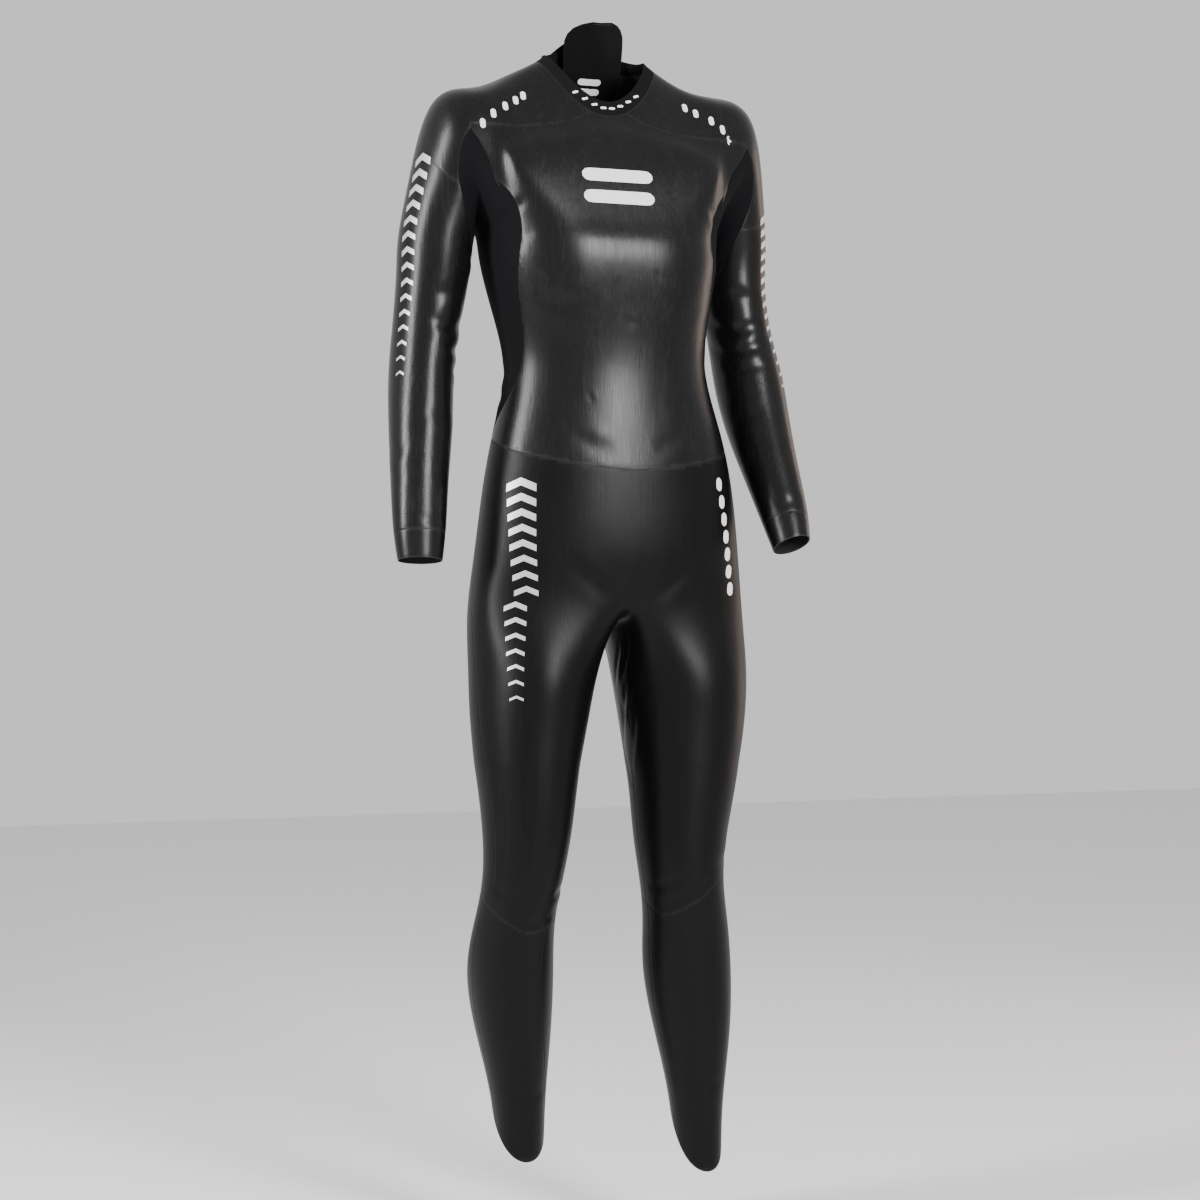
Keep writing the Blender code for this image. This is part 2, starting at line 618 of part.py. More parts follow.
def panel_wall(name, faces, thickness, gap=SEAM_GAP):
    """A closed wall from a panel's faces: the outer side on the skin, drawn in from the seams,
    and the inner side moved in along the skin's own normals. Two panels fold the faces of a
    seam along the same diagonals, so they stay clear of each other where it twists."""
    chosen = set(faces)
    drawn_in = {}
    border = []
    for face in faces:
        for loop in face.loops:
            if all(other is face or other not in chosen for other in loop.edge.link_faces):
                border.append(loop)
                for vert in (loop.vert, loop.link_loop_next.vert):
                    drawn_in.setdefault(vert, []).append(inward(loop))
    wall = bmesh.new()
    outer, inner = {}, {}
    for vert in {vert for face in faces for vert in face.verts}:
        place = vert.co.copy()
        if vert in drawn_in:
            one, *others = drawn_in[vert]
            other = others[0] if others else one
            place += (one + other) * (gap / 2) / max(1 + one.dot(other), 0.4)
        outer[vert] = wall.verts.new(place)
        inner[vert] = wall.verts.new(place - vert.normal * thickness)
    for face in faces:
        wall.faces.new([outer[vert] for vert in face.verts])
        wall.faces.new([inner[vert] for vert in reversed(face.verts)])
    for loop in border:
        a, b = loop.vert, loop.link_loop_next.vert
        if a.index < b.index:
            wall.faces.new([outer[b], outer[a], inner[b]])
            wall.faces.new([outer[a], inner[a], inner[b]])
        else:
            wall.faces.new([outer[b], outer[a], inner[a]])
            wall.faces.new([outer[b], inner[a], inner[b]])
    mesh = bpy.data.meshes.new(name)
    wall.to_mesh(mesh)
    wall.free()
    return mesh


# ---------------------------------------------------------------- finishes

Finish = namedtuple("Finish", "colour roughness metallic")
FINISHES = {
    "smooth_skin": Finish((0.012, 0.012, 0.014), 0.28, 0.0),
    "smooth_skin_legs": Finish((0.010, 0.010, 0.011), 0.36, 0.0),
    "jersey": Finish((0.006, 0.006, 0.010), 0.85, 0.0),
    "collar_jersey": Finish((0.020, 0.019, 0.022), 0.80, 0.0),
    "zip_plastic": Finish((0.015, 0.015, 0.016), 0.45, 0.0),
}


def add_node(name, mesh, finish):
    """One piece of the suit as its own object, with its own material."""
    look = FINISHES[finish]
    material = bpy.data.materials.new(name)
    material.use_nodes = True
    shader = material.node_tree.nodes["Principled BSDF"]
    shader.inputs["Base Color"].default_value = (*look.colour, 1)
    shader.inputs["Roughness"].default_value = look.roughness
    shader.inputs["Metallic"].default_value = look.metallic
    mesh.materials.clear()
    mesh.materials.append(material)
    mesh.shade_smooth()
    mesh.set_sharp_from_angle(angle=radians(50))
    piece = bpy.data.objects.new(name, mesh)
    SUIT.objects.link(piece)
    return piece


# ---------------------------------------------------------------- the suit

# Panels that are cut once for both sides, and those cut as a left and a right piece.
WHOLE_PANELS = (
    ("front_panel", CHEST_WALL, "smooth_skin"),
    ("back_panel", BODY_WALL, "smooth_skin"),
    ("pants_front", BODY_WALL, "smooth_skin_legs"),
    ("pants_back", BODY_WALL, "smooth_skin_legs"),
    ("crotch_gusset", JERSEY_WALL, "smooth_skin_legs"),
    ("collar", JERSEY_WALL, "collar_jersey"),
)
PAIRED_PANELS = (
    ("side_panel", JERSEY_WALL, "jersey"),
    ("yoke", JERSEY_WALL, "smooth_skin"),
    ("sleeve", JERSEY_WALL, "smooth_skin"),
    ("cuff", CUFF_WALL, "smooth_skin"),
    ("shin", BODY_WALL, "smooth_skin_legs"),
    ("calf", BODY_WALL, "smooth_skin_legs"),
    ("zip_half", ZIP_WALL, "zip_plastic"),
)


def stand(point, limb="trunk"):
    """A drafted point as the suit stands: the trunk leans, and the origin is at the shoulders."""
    lean = 0 if limb == "arm" else smooth(point.z, LEAN)
    return Vector((point.x + lean, point.y, point.z - SHOULDER_LEVEL))


def panel_faces(skin, panel, name):
    return [face for face in skin.faces if face[panel] == PANELS.index(name)]


def open_collar(skin, slit):
    """Parts the collar at the centre back, where it closes, and keeps the smooth normals."""
    ends = {vert for edge in slit for vert in edge.verts}
    normals = [(vert.co.copy(), vert.normal.copy()) for vert in ends]
    bmesh.ops.split_edges(skin, edges=slit)
    for place, normal in normals:
        for vert in skin.verts:
            if vert.co == place:
                vert.normal = normal


def sheet_node(name, columns, thickness, finish):
    """A free sheet as a node, from columns of points that run upwards, right to left."""
    sheet = bmesh.new()
    grid = [[sheet.verts.new(stand(point)) for point in column] for column in columns]
    for one, other in zip(grid, grid[1:]):
        for k in range(len(one) - 1):
            sheet.faces.new([one[k], one[k + 1], other[k + 1], other[k]])
    sheet.normal_update()
    add_node(name, panel_wall(name, list(sheet.faces), thickness, gap=0), finish)
    sheet.free()


def flap_columns(skin):
    """The flap: its foot lies on the back yoke's inner side, and the rest leans forward."""
    surface = BVHTree.FromBMesh(skin)
    columns = []
    for share in np.linspace(0, 1, FLAP_COLUMNS + 1):
        column = []
        for row in FLAP:
            x = row.right + (row.left - row.right) * share
            seat_height = min(row.height, ZIP_TOP)
            hit, normal, *_ = surface.ray_cast(Vector((x, 0, seat_height)), Vector((0, 1, 0)))
            seat = hit - normal * (JERSEY_WALL + SEAM_GAP)
            y = seat.y - row.forward - row.bow * (2 * share - 1) ** 2
            column.append(Vector((x, y, row.height)))
        columns.append(column)
    return columns


def tab_columns(skin, panel):
    """The closing tab, from the collar's own points moved out, and carried on past its edge."""
    collar = {vert for face in panel_faces(skin, panel, "collar") for vert in face.verts}
    edge = [vert for vert in collar if vert.is_boundary and vert.co.y > 0]
    edge = [vert for vert in edge if TAB_RIGHT < vert.co.x < TAB_LEFT]
    middle, half = (TAB_LEFT + TAB_RIGHT) / 2, (TAB_LEFT - TAB_RIGHT) / 2
    columns = []
    for top in sorted(edge, key=lambda vert: vert.co.x):
        band = min((link.other_vert(top) for link in top.link_edges), key=lambda vert: vert.co.z)
        foot = min((link.other_vert(band) for link in band.link_edges), key=lambda vert: vert.co.z)
        clear = 2 * SEAM_GAP + TAB_WALL
        column = [band.co.lerp(foot.co, TAB_OVERLAP) + band.normal * clear]
        column += [vert.co + band.normal * clear for vert in (band, top)]
        rise = TAB_RISE + TAB_CROWN * cos(pi / 2 * (top.co.x - middle) / half)
        for row in range(1, TAB_ROWS + 1):
            column.append(column[2] + Vector((0, 0, rise * row / TAB_ROWS)))
        columns.append(column)
    return columns


def zip_slider(skin, panel):
    """The slider at the chain's upper end: an outer plate with a lug for its cord, a post just
    past the end of the chain, and an inner plate. Drawn across X, along Y and outward Z."""
    chain = {vert for face in panel_faces(skin, panel, "zip_half") for vert in face.verts}
    middle = [vert.co for vert in chain if abs(vert.co.x) < 1e-6]
    before, end = sorted(middle, key=lambda place: place.z)[-2:]
    along = (end - before).normalized()
    across = Vector((-1, 0, 0))
    outward = across.cross(along)
    outer, inner = SEAM_GAP, -JERSEY_WALL - SEAM_GAP

    slider = bmesh.new()
    bmesh.ops.create_cube(slider, size=1)

    def spread(face, width, centre, length, level):
        median = face.calc_center_median()
        for vert in face.verts:
            x = copysign(width / 2, vert.co.x - median.x)
            y = centre + copysign(length / 2, vert.co.y - median.y)
            vert.co = (x, y, level)

    def grow(face, *place):
        grown = bmesh.ops.extrude_discrete_faces(slider, faces=[face])["faces"][0]
        spread(grown, *place)
        return grown

    plate = (SLIDER_WIDTH, SLIDER_MIDDLE, SLIDER_LENGTH)
    post = (SLIDER_POST, SLIDER_POST_S, SLIDER_POST)
    lug = (LUG_WIDTH, SLIDER_MIDDLE, LUG_LENGTH)
    under, top = sorted(slider.faces, key=lambda face: face.calc_center_median().z)[:: 5]
    spread(under, *plate, outer)
    spread(top, *plate, outer + SLIDER_PLATE)
    raised = grow(top, *lug, outer + SLIDER_PLATE)
    grow(raised, *lug, outer + SLIDER_PLATE + LUG_HEIGHT)
    neck = grow(under, *post, outer)
    neck = grow(neck, *post, inner)
    lower = grow(neck, *plate, inner)
    grow(lower, *plate, inner - SLIDER_PLATE)
    frame = Matrix((across, along, outward)).transposed()
    for vert in slider.verts:
        vert.co = stand(end + frame @ vert.co)
    mesh = bpy.data.meshes.new("zip_slider")
    slider.to_mesh(mesh)
    slider.free()
    return mesh


def build_suit():
    skin = smooth_skin(build_cage(), levels=1)
    panel = draft_panels(skin)
    skin.normal_update()
    sheet_node("zip_flap", flap_columns(skin), FLAP_WALL, "jersey")
    sheet_node("collar_tab", tab_columns(skin, panel), TAB_WALL, "collar_jersey")
    add_node("zip_slider", zip_slider(skin, panel), "zip_plastic")

    def at_centre_back(vert):
        return vert.co.y > 0 and abs(vert.co.x) < 1e-6 and vert.co.z > ZIP_TOP - 1e-5

    slit = [edge for edge in skin.edges if all(at_centre_back(vert) for vert in edge.verts)]
    for vert in skin.verts:
        vert.co = stand(vert.co, place_of(vert)[0])
    skin.normal_update()
    open_collar(skin, slit)
    skin.verts.index_update()
    for name, thickness, finish in WHOLE_PANELS:
        faces = panel_faces(skin, panel, name)
        add_node(name, panel_wall(name, faces, thickness), finish)
    for name, thickness, finish in PAIRED_PANELS:
        for tag, side in (("L", 1), ("R", -1)):
            faces = [
                face
                for face in panel_faces(skin, panel, name)
                if side * (face.calc_center_median().x - lean_at(face)) > 0
            ]
            add_node(f"{name}_{tag}", panel_wall(f"{name}_{tag}", faces, thickness), finish)
    skin.free()


def lean_at(face):
    limb, _ = LIMBS[face.material_index]
    height = face.calc_center_median().z + SHOULDER_LEVEL
    return 0 if limb == "arm" else smooth(height, LEAN)


for thing in list(bpy.data.objects):
    bpy.data.objects.remove(thing)
SUIT = bpy.data.collections.new("wetsuit")
bpy.context.scene.collection.children.link(SUIT)
build_suit()
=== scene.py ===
"""A full-sleeve swim wetsuit of smooth-skin neoprene, filled out with nobody in it.

Metres, +Z up, the front faces -Y and the wearer's left is +X. Heights in the tables are
measured up from the sole of a general figure, and the origin is between its shoulders.
"""

from collections import namedtuple
from math import cos, pi, radians, sin

import bmesh
import bpy
import numpy as np
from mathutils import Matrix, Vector
from mathutils.bvhtree import BVHTree


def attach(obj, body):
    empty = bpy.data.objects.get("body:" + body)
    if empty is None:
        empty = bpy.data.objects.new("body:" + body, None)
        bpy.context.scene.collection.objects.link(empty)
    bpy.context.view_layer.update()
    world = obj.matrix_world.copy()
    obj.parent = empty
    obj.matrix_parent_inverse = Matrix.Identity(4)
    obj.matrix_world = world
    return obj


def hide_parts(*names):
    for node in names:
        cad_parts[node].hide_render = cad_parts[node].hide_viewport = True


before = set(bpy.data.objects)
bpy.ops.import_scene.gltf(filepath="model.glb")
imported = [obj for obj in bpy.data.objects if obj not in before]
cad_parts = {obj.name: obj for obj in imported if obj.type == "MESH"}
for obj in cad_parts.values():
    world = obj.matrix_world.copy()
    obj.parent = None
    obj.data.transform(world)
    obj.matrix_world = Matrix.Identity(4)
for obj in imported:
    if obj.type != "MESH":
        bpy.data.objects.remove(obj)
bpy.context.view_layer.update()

# ------------------------------------------------------------------ the block
# A suit like this is drafted on a block: a dress form of the wearer's size. The block is a cage
# of sections down the trunk, legs and arms, smoothed by subdivision into one skin.

SHOULDER_LEVEL = 1.450
LEAN = ((0.62, 0.000), (0.80, 0.009), (1.00, 0.011), (1.26, -0.003), (1.42, -0.005))
LEVELS = 4

# Height at the centre front, the side and the centre back, half width, depth to the front and
# the back of a middle line, where that line lies, squareness, and how late the side is reached.
TrunkRing = namedtuple(
    "TrunkRing", "name front side back half_width fore aft middle square rise"
)
TRUNK = (
    TrunkRing("collar top", 1.449, 1.513, 1.533, 0.067, 0.052, 0.052, 0.012, 1.00, 2.0),
    TrunkRing("collar foot", 1.430, 1.503, 1.508, 0.078, 0.056, 0.056, 0.010, 0.95, 2.0),
    TrunkRing("mid shoulder", 1.408, 1.482, 1.478, 0.120, 0.076, 0.064, 0.014, 0.75, 4.0),
    TrunkRing("armhole top", 1.385, 1.468, 1.436, 0.163, 0.094, 0.076, 0.020, 0.50, 7.0),
    TrunkRing("armhole middle", 1.345, 1.345, 1.358, 0.158, 0.104, 0.092, 0.015, 0.42, 2.0),
    TrunkRing("armhole bottom", 1.288, 1.288, 1.292, 0.154, 0.113, 0.097, 0.010, 0.78, 2.0),
    TrunkRing("bust", 1.250, 1.250, 1.250, 0.151, 0.114, 0.100, 0.003, 0.84, 2.0),
    TrunkRing("under bust", 1.185, 1.185, 1.185, 0.139, 0.101, 0.094, 0.000, 0.88, 2.0),
    TrunkRing("waist", 1.115, 1.115, 1.115, 0.131, 0.090, 0.084, -0.002, 0.90, 2.0),
    TrunkRing("high hip", 1.045, 1.045, 1.045, 0.1465, 0.093, 0.090, 0.000, 0.90, 2.0),
    TrunkRing("hip", 0.970, 0.970, 0.970, 0.162, 0.096, 0.106, 0.000, 0.90, 2.0),
    TrunkRing("seat", 0.885, 0.885, 0.885, 0.172, 0.096, 0.122, 0.000, 0.90, 2.0),
    TrunkRing("fork", 0.824, 0.806, 0.812, 0.179, 0.086, 0.110, 0.000, 0.80, 2.0),
)
STATIONS = (0, 20, 41, 62, 77, 90, 104, 120, 140, 160, 180)
LAST = len(STATIONS) - 1
ARMHOLE = dict(first=3, last=7, top=3, middle=4, bottom=5)
BUST_FULLNESS, BUST_TURN, BUST_AHEAD = 0.006, 2.3, 0.4
SHOULDER_LIFT = {-1: -0.003, 1: 0.008}
FORK = ((0.056, 0.802), (0.002, 0.794), (-0.050, 0.802))  # depth and height under the seat

LegRing = namedtuple(
    "LegRing", "name height half_width half_depth right_out right_y left_out left_y right_share"
)
LEGS = (
    LegRing("top of thigh", 0.742, 0.0880, 0.0920, 0.096, -0.002, 0.098, -0.002, 0.930),
    LegRing("thigh", 0.675, 0.0808, 0.0850, 0.101, -0.010, 0.104, -0.010, 0.905),
    LegRing("lower thigh", 0.600, 0.0693, 0.0755, 0.104, -0.020, 0.104, -0.020, 0.895),
    LegRing("above knee", 0.530, 0.0595, 0.0660, 0.107, -0.027, 0.098, -0.028, 0.905),
    LegRing("knee", 0.470, 0.0528, 0.0590, 0.113, -0.025, 0.098, -0.033, 0.925),
    LegRing("below knee", 0.415, 0.0538, 0.0570, 0.117, -0.006, 0.105, -0.028, 0.935),
    LegRing("calf", 0.350, 0.0556, 0.0590, 0.114, 0.018, 0.110, -0.022, 0.970),
    LegRing("low calf", 0.270, 0.0471, 0.0500, 0.103, 0.038, 0.115, -0.028, 0.990),
    LegRing("ankle", 0.180, 0.0328, 0.0380, 0.092, 0.052, 0.117, -0.036, 1.030),
    LegRing("below hem", 0.080, 0.0285, 0.0330, 0.087, 0.062, 0.118, -0.042, 1.060),
)
LEG_AROUND = LAST + 1 + len(FORK)

# An arm's cut, across and fore-and-aft, and each arm's pose: its centre, how far the ring is
# tilted from upright, how far it is pitched forward, and how much fuller than the cut it is.
ArmRing = namedtuple("ArmRing", "name across along")
ARMS = (
    ArmRing("shoulder", 0.0800, 0.0680),
    ArmRing("upper arm top", 0.0520, 0.0590),
    ArmRing("armpit", 0.0455, 0.0545),
    ArmRing("upper arm", 0.0450, 0.0525),
    ArmRing("above elbow", 0.0415, 0.0480),
    ArmRing("elbow", 0.0405, 0.0490),
    ArmRing("forearm", 0.0390, 0.0430),
    ArmRing("mid forearm", 0.0355, 0.0365),
    ArmRing("wrist", 0.0315, 0.0300),
    ArmRing("cuff end", 0.0258, 0.0250),
)
ArmPose = namedtuple("ArmPose", "out y height tilt pitch fuller")
ARM_POSES = {
    -1: (
        ArmPose(0.1865, 0.018, 1.3720, 20, 0, 1.00),
        ArmPose(0.2005, 0.022, 1.3210, 50, 0, 1.02),
        ArmPose(0.2100, 0.024, 1.2740, 80, 0, 1.02),
        ArmPose(0.2120, 0.027, 1.2350, 90, 0, 1.02),
        ArmPose(0.2200, 0.030, 1.1700, 86, 2, 1.01),
        ArmPose(0.2285, 0.024, 1.1050, 84, 8, 1.00),
        ArmPose(0.2335, 0.009, 1.0400, 85, 13, 1.02),
        ArmPose(0.2395, -0.008, 0.9750, 86, 13, 1.02),
        ArmPose(0.2435, -0.022, 0.9150, 87, 11, 1.05),
        ArmPose(0.2450, -0.030, 0.8720, 88, 9, 1.08),
    ),
    1: (
        ArmPose(0.1845, 0.028, 1.3775, 20, 0, 1.00),
        ArmPose(0.1950, 0.036, 1.3240, 50, 0, 0.98),
        ArmPose(0.1990, 0.043, 1.2760, 80, 0, 0.98),
        ArmPose(0.2000, 0.046, 1.2370, 90, 0, 0.97),
        ArmPose(0.2095, 0.043, 1.1750, 88, 3, 0.99),
        ArmPose(0.2180, 0.031, 1.1120, 84, 14, 1.07),
        ArmPose(0.2220, 0.006, 1.0500, 82, 24, 1.04),
        ArmPose(0.2265, -0.026, 0.9880, 82, 27, 0.97),
        ArmPose(0.2310, -0.056, 0.9320, 82, 27, 0.94),
        ArmPose(0.2325, -0.075, 0.8940, 82, 27, 0.93),
    ),
}
ARM_AROUND = 2 * (ARMHOLE["last"] - ARMHOLE["first"]) + 4
LIMB_NAMES = ("trunk", "collar", "arm", "leg")


def smooth(t, points):
    """Reads at t, a number or many, the curve through (t, value) points; it ends level."""
    ts, values = np.array(points, float).T
    slopes = np.gradient(values, ts)
    t = np.clip(t, ts[0], ts[-1])
    i = np.clip(np.searchsorted(ts, t, side="right") - 1, 0, len(ts) - 2)
    span = ts[i + 1] - ts[i]
    s = (t - ts[i]) / span
    start = values[i] * (1 + 2 * s) * (1 - s) ** 2 + slopes[i] * span * s * (1 - s) ** 2
    end = values[i + 1] * s * s * (3 - 2 * s) + slopes[i + 1] * span * s * s * (s - 1)
    return start + end


def trunk_point(ring, angle, side):
    """A point of a trunk section, at an angle from the front, on the left (1) or the right (-1)."""
    across = sin(radians(angle))
    ahead = cos(radians(angle))
    reach = ring.fore if ahead > 0 else ring.aft
    end = ring.front if ahead > 0 else ring.back
    x = side * ring.half_width * across**ring.square
    y = ring.middle - np.sign(ahead) * reach * abs(ahead) ** ring.square
    if ring.name in ("bust", "armhole bottom", "under bust"):
        y -= BUST_FULLNESS * max(sin(radians(BUST_TURN * angle)), 0) * (ahead > BUST_AHEAD)
    lift = SHOULDER_LIFT[side] if ring.name == "armhole top" else 0
    return Vector((x, y, end + (ring.side + lift - end) * across**ring.rise))


def leg_centre(height, side):
    """Where a leg's centre line is at a height, as x and y."""
    rings = LEGS[::-1]
    out, y = (
        np.where(
            np.asarray(side) > 0,
            smooth(height, [(ring.height, getattr(ring, "left_" + name)) for ring in rings]),
            smooth(height, [(ring.height, getattr(ring, "right_" + name)) for ring in rings]),
        )
        for name in ("out", "y")
    )
    return side * out, y


def arm_centre(height, side):
    """The same for an arm."""
    poses = ARM_POSES[side][::-1]
    out = smooth(height, [(pose.height, pose.out) for pose in poses])
    return side * out, smooth(height, [(pose.height, pose.y) for pose in poses])


def leg_ring(ring, side):
    """A leg section's points, in the order of the trunk's lowest section."""
    x, y = leg_centre(ring.height, side)
    share = 1 if side > 0 else ring.right_share
    points = []
    for k in range(LEG_AROUND):
        angle = radians(90 + (k - LAST / 2) * 360 / LEG_AROUND)
        out = ring.half_width * share * sin(angle)
        points.append(Vector((x + side * out, y - ring.half_depth * cos(angle), ring.height)))
    return points


def arm_ring(ring, pose, side):
    """An arm section's points, in the order of the armhole's."""
    tilt, pitch = radians(pose.tilt), radians(pose.pitch)
    centre = Vector((pose.out, pose.y, pose.height))
    outward = Vector((sin(tilt), 0, cos(tilt)))
    forward = Vector((0, -cos(pitch), sin(pitch)))
    points = []
    for j in range(ARM_AROUND):
        angle = 2 * pi * j / ARM_AROUND
        across = ring.across * pose.fuller * cos(angle)
        point = centre + across * outward + ring.along * sin(angle) * forward
        points.append(Vector((side * point.x, point.y, point.z)))
    return points


def build_cage():
    """The coarse cage of quads. A face's material index is its limb."""
    cage = bmesh.new()

    def add_face(points, limb, side):
        face = cage.faces.new(points if side > 0 else points[::-1])
        face.material_index = LIMB_NAMES.index(limb)

    rings = []
    for ring in TRUNK:
        left = [cage.verts.new(trunk_point(ring, angle, 1)) for angle in STATIONS]
        right = [cage.verts.new(trunk_point(ring, angle, -1)) for angle in STATIONS[1:-1]]
        rings.append((left, [left[0], *right, left[-1]]))
    for upper in range(len(TRUNK) - 1):
        limb = "collar" if upper == 0 else "trunk"
        beside_arm = ARMHOLE["top"] <= upper < ARMHOLE["bottom"]
        for k in range(LAST):
            if beside_arm and ARMHOLE["first"] <= k < ARMHOLE["last"]:
                continue
            for half, side in ((0, 1), (1, -1)):
                above, below = rings[upper][half], rings[upper + 1][half]
                add_face([above[k], below[k], below[k + 1], above[k + 1]], limb, side)
    fork = [cage.verts.new((0, depth, height)) for depth, height in FORK]
    for half, side in ((0, 1), (1, -1)):
        above = [*rings[-1][half], *fork]
        for ring in LEGS:
            below = [cage.verts.new(point) for point in leg_ring(ring, side)]
            for k in range(LEG_AROUND):
                n = (k + 1) % LEG_AROUND
                add_face([above[k], below[k], below[n], above[n]], "leg", side)
            above = below
        top, middle, bottom = (rings[ARMHOLE[row]][half] for row in ("top", "middle", "bottom"))
        first, last = ARMHOLE["first"], ARMHOLE["last"]
        crown = (first + last) // 2
        above = [top[k] for k in range(crown, first - 1, -1)]
        above.append(middle[first])
        above += bottom[first : last + 1]
        above.append(middle[last])
        above += [top[k] for k in range(last, crown, -1)]
        for ring, pose in zip(ARMS, ARM_POSES[side]):
            below = [cage.verts.new(point) for point in arm_ring(ring, pose, side)]
            for j in range(ARM_AROUND):
                n = (j + 1) % ARM_AROUND
                add_face([above[n], below[n], below[j], above[j]], "arm", side)
            above = below
    for vert in [vert for vert in cage.verts if not vert.link_faces]:
        cage.verts.remove(vert)
    return cage


def limit_point(vert):
    """Where repeated subdivision would carry a cage point."""
    if vert.is_boundary:
        ends = [edge.other_vert(vert) for edge in vert.link_edges if edge.is_boundary]
        return (4 * vert.co + ends[0].co + ends[1].co) / 6
    n = len(vert.link_edges)
    near = [edge.other_vert(vert) for edge in vert.link_edges]
    total = n * n * vert.co
    for other in near:
        total = total + 4 * other.co
    for face in vert.link_faces:
        for other in face.verts:
            if other is not vert and other not in near:
                total = total + other.co
    return total / (n * (n + 5))


def push_out(cage, passes=3):
    """Moves the cage out until the smooth skin passes through the tables' sections."""
    targets = [vert.co.copy() for vert in cage.verts]
    for _ in range(passes):
        limits = [limit_point(vert) for vert in cage.verts]
        for vert, target, limit in zip(cage.verts, targets, limits):
            vert.co += target - limit


def read(items, name, kind, width=1):
    """A mesh's values of one name as an array, in rows where each item has several."""
    values = np.empty(len(items) * width, kind)
    items.foreach_get(name, values)
    return values.reshape(-1, width) if width > 1 else values


class Skin:
    """The suit's surface: faces that share their corner points, each in a limb and a panel."""

    def __init__(self, cage, levels):
        mesh = bpy.data.meshes.new("skin")
        for _ in LIMB_NAMES:
            mesh.materials.append(None)
        cage.to_mesh(mesh)
        cage.free()
        holder = bpy.data.objects.new("skin", mesh)
        bpy.context.scene.collection.objects.link(holder)
        subdivision = holder.modifiers.new("smooth", "SUBSURF")
        subdivision.levels = subdivision.render_levels = levels
        fine = holder.evaluated_get(bpy.context.evaluated_depsgraph_get()).to_mesh()
        self.points = read(fine.vertices, "co", np.float64, 3)
        self.corners = read(fine.loops, "vertex_index", np.int64)
        self.sizes = read(fine.polygons, "loop_total", np.int64)
        self.limbs = read(fine.polygons, "material_index", np.int64)
        bpy.data.objects.remove(holder)
        self.panels = np.zeros(len(self.sizes), int)
        one, other, face = self.edges()
        self.limb = np.full(len(self.points), len(LIMB_NAMES))
        np.minimum.at(self.limb, one, self.limbs[face])
        key = self.edge_key(one, other)
        lone, count = np.unique(key, return_counts=True)
        self.border = np.zeros(len(self.points), bool)
        self.border[one[np.isin(key, lone[count == 1])]] = True
        self.border[other[np.isin(key, lone[count == 1])]] = True

    def edges(self):
        """Every corner of every face, the corner that follows it, and their face."""
        start = np.cumsum(self.sizes) - self.sizes
        following = np.arange(len(self.corners)) + 1
        following[start + self.sizes - 1] = start
        face = np.repeat(np.arange(len(self.sizes)), self.sizes)
        return self.corners, self.corners[following], face

    def edge_key(self, one, other):
        """One number for an edge, whichever way it runs."""
        return np.minimum(one, other) * len(self.points) + np.maximum(one, other)

    def centres(self):
        one, _, face = self.edges()
        total = [np.bincount(face, self.points[one, axis]) for axis in range(3)]
        return np.array(total).T / self.sizes[:, None]

    def face_normals(self):
        """Normals that are longer on larger faces."""
        one, other, face = self.edges()
        centre = self.centres()[face]
        area = np.cross(self.points[one] - centre, self.points[other] - centre)
        return np.array([np.bincount(face, area[:, axis]) for axis in range(3)]).T

    def normals(self):
        """The points' normals, each of length one."""
        one, _, face = self.edges()
        area = self.face_normals()[face]
        count = len(self.points)
        total = np.array([np.bincount(one, area[:, axis], count) for axis in range(3)]).T
        return total / np.maximum(np.linalg.norm(total, axis=1), 1e-12)[:, None]


cage = build_cage()
push_out(cage)
skin = Skin(cage, LEVELS)

# ------------------------------------------------------------------ the seams
# The skin is cut into the suit's panels along its seams. Angles are in degrees from the front,
# round the trunk or round a leg, and outwards on a leg; lengths are in metres.

SEAM_GAP = 0.0003
SHOULDER_Y = 0.022
WAIST_SEAM = ((0, 0.985), (30, 0.989), (60, 1.001), (90, 1.022), (110, 1.033), (180, 1.045))
SIDE_PANEL_FRONT = (
    (1.03, 100), (1.05, 92), (1.08, 81), (1.12, 72), (1.20, 65.5), (1.294, 60), (1.32, 63),
    (1.337, 68), (1.36, 74), (1.42, 90),
)
SIDE_PANEL_BACK = ((1.03, 128), (1.12, 124), (1.20, 122), (1.29, 121), (1.35, 116), (1.40, 104))
ARM_GUSSET_INNER = (
    (1.30, 0.135), (1.337, 0.153), (1.363, 0.1615), (1.382, 0.173), (1.4, 0.184), (1.41, 0.190),
)
ARM_GUSSET_OUTER = (
    (1.215, 0.150), (1.235, 0.164), (1.26, 0.172), (1.2785, 0.178), (1.317, 0.192),
    (1.342, 0.199), (1.3726, 0.1985), (1.39, 0.194), (1.402, 0.186), (1.41, 0.178),
)
SIDE_PANEL_TOP = 1.406
GUSSET_APEX = 0.1865
BACK_EDGE_ANGLE = 108
YOKE_FRONT = ((0.000, 1.442), (0.020, 1.436), (0.040, 1.425), (0.090, 1.412), (0.180, 1.408))
YOKE_BACK = ((0.000, 1.400), (0.090, 1.396), (0.180, 1.392))
UPPER_ARM_SEAM = {
    -1: ((0.198, 1.337), (0.21, 1.343), (0.23, 1.365), (0.25, 1.380)),
    1: ((0.198, 1.303), (0.21, 1.306), (0.23, 1.315), (0.25, 1.324)),
}
CUFF_LENGTH = 0.034
GUSSET_SPREAD = ((0.585, 0), (0.64, 12), (0.70, 17), (0.745, 20), (0.80, 20))
LEG_OUTER_SEAM = (
    (0.40, 62), (0.47, 61), (0.53, 63), (0.58, 68), (0.64, 71), (0.73, 80), (0.80, 89), (0.90, 96),
    (1.03, 100),
)
LEG_INNER_SEAM = {-1: ((0.40, -60), (0.59, -80)), 1: ((0.40, -82), (0.59, -86))}
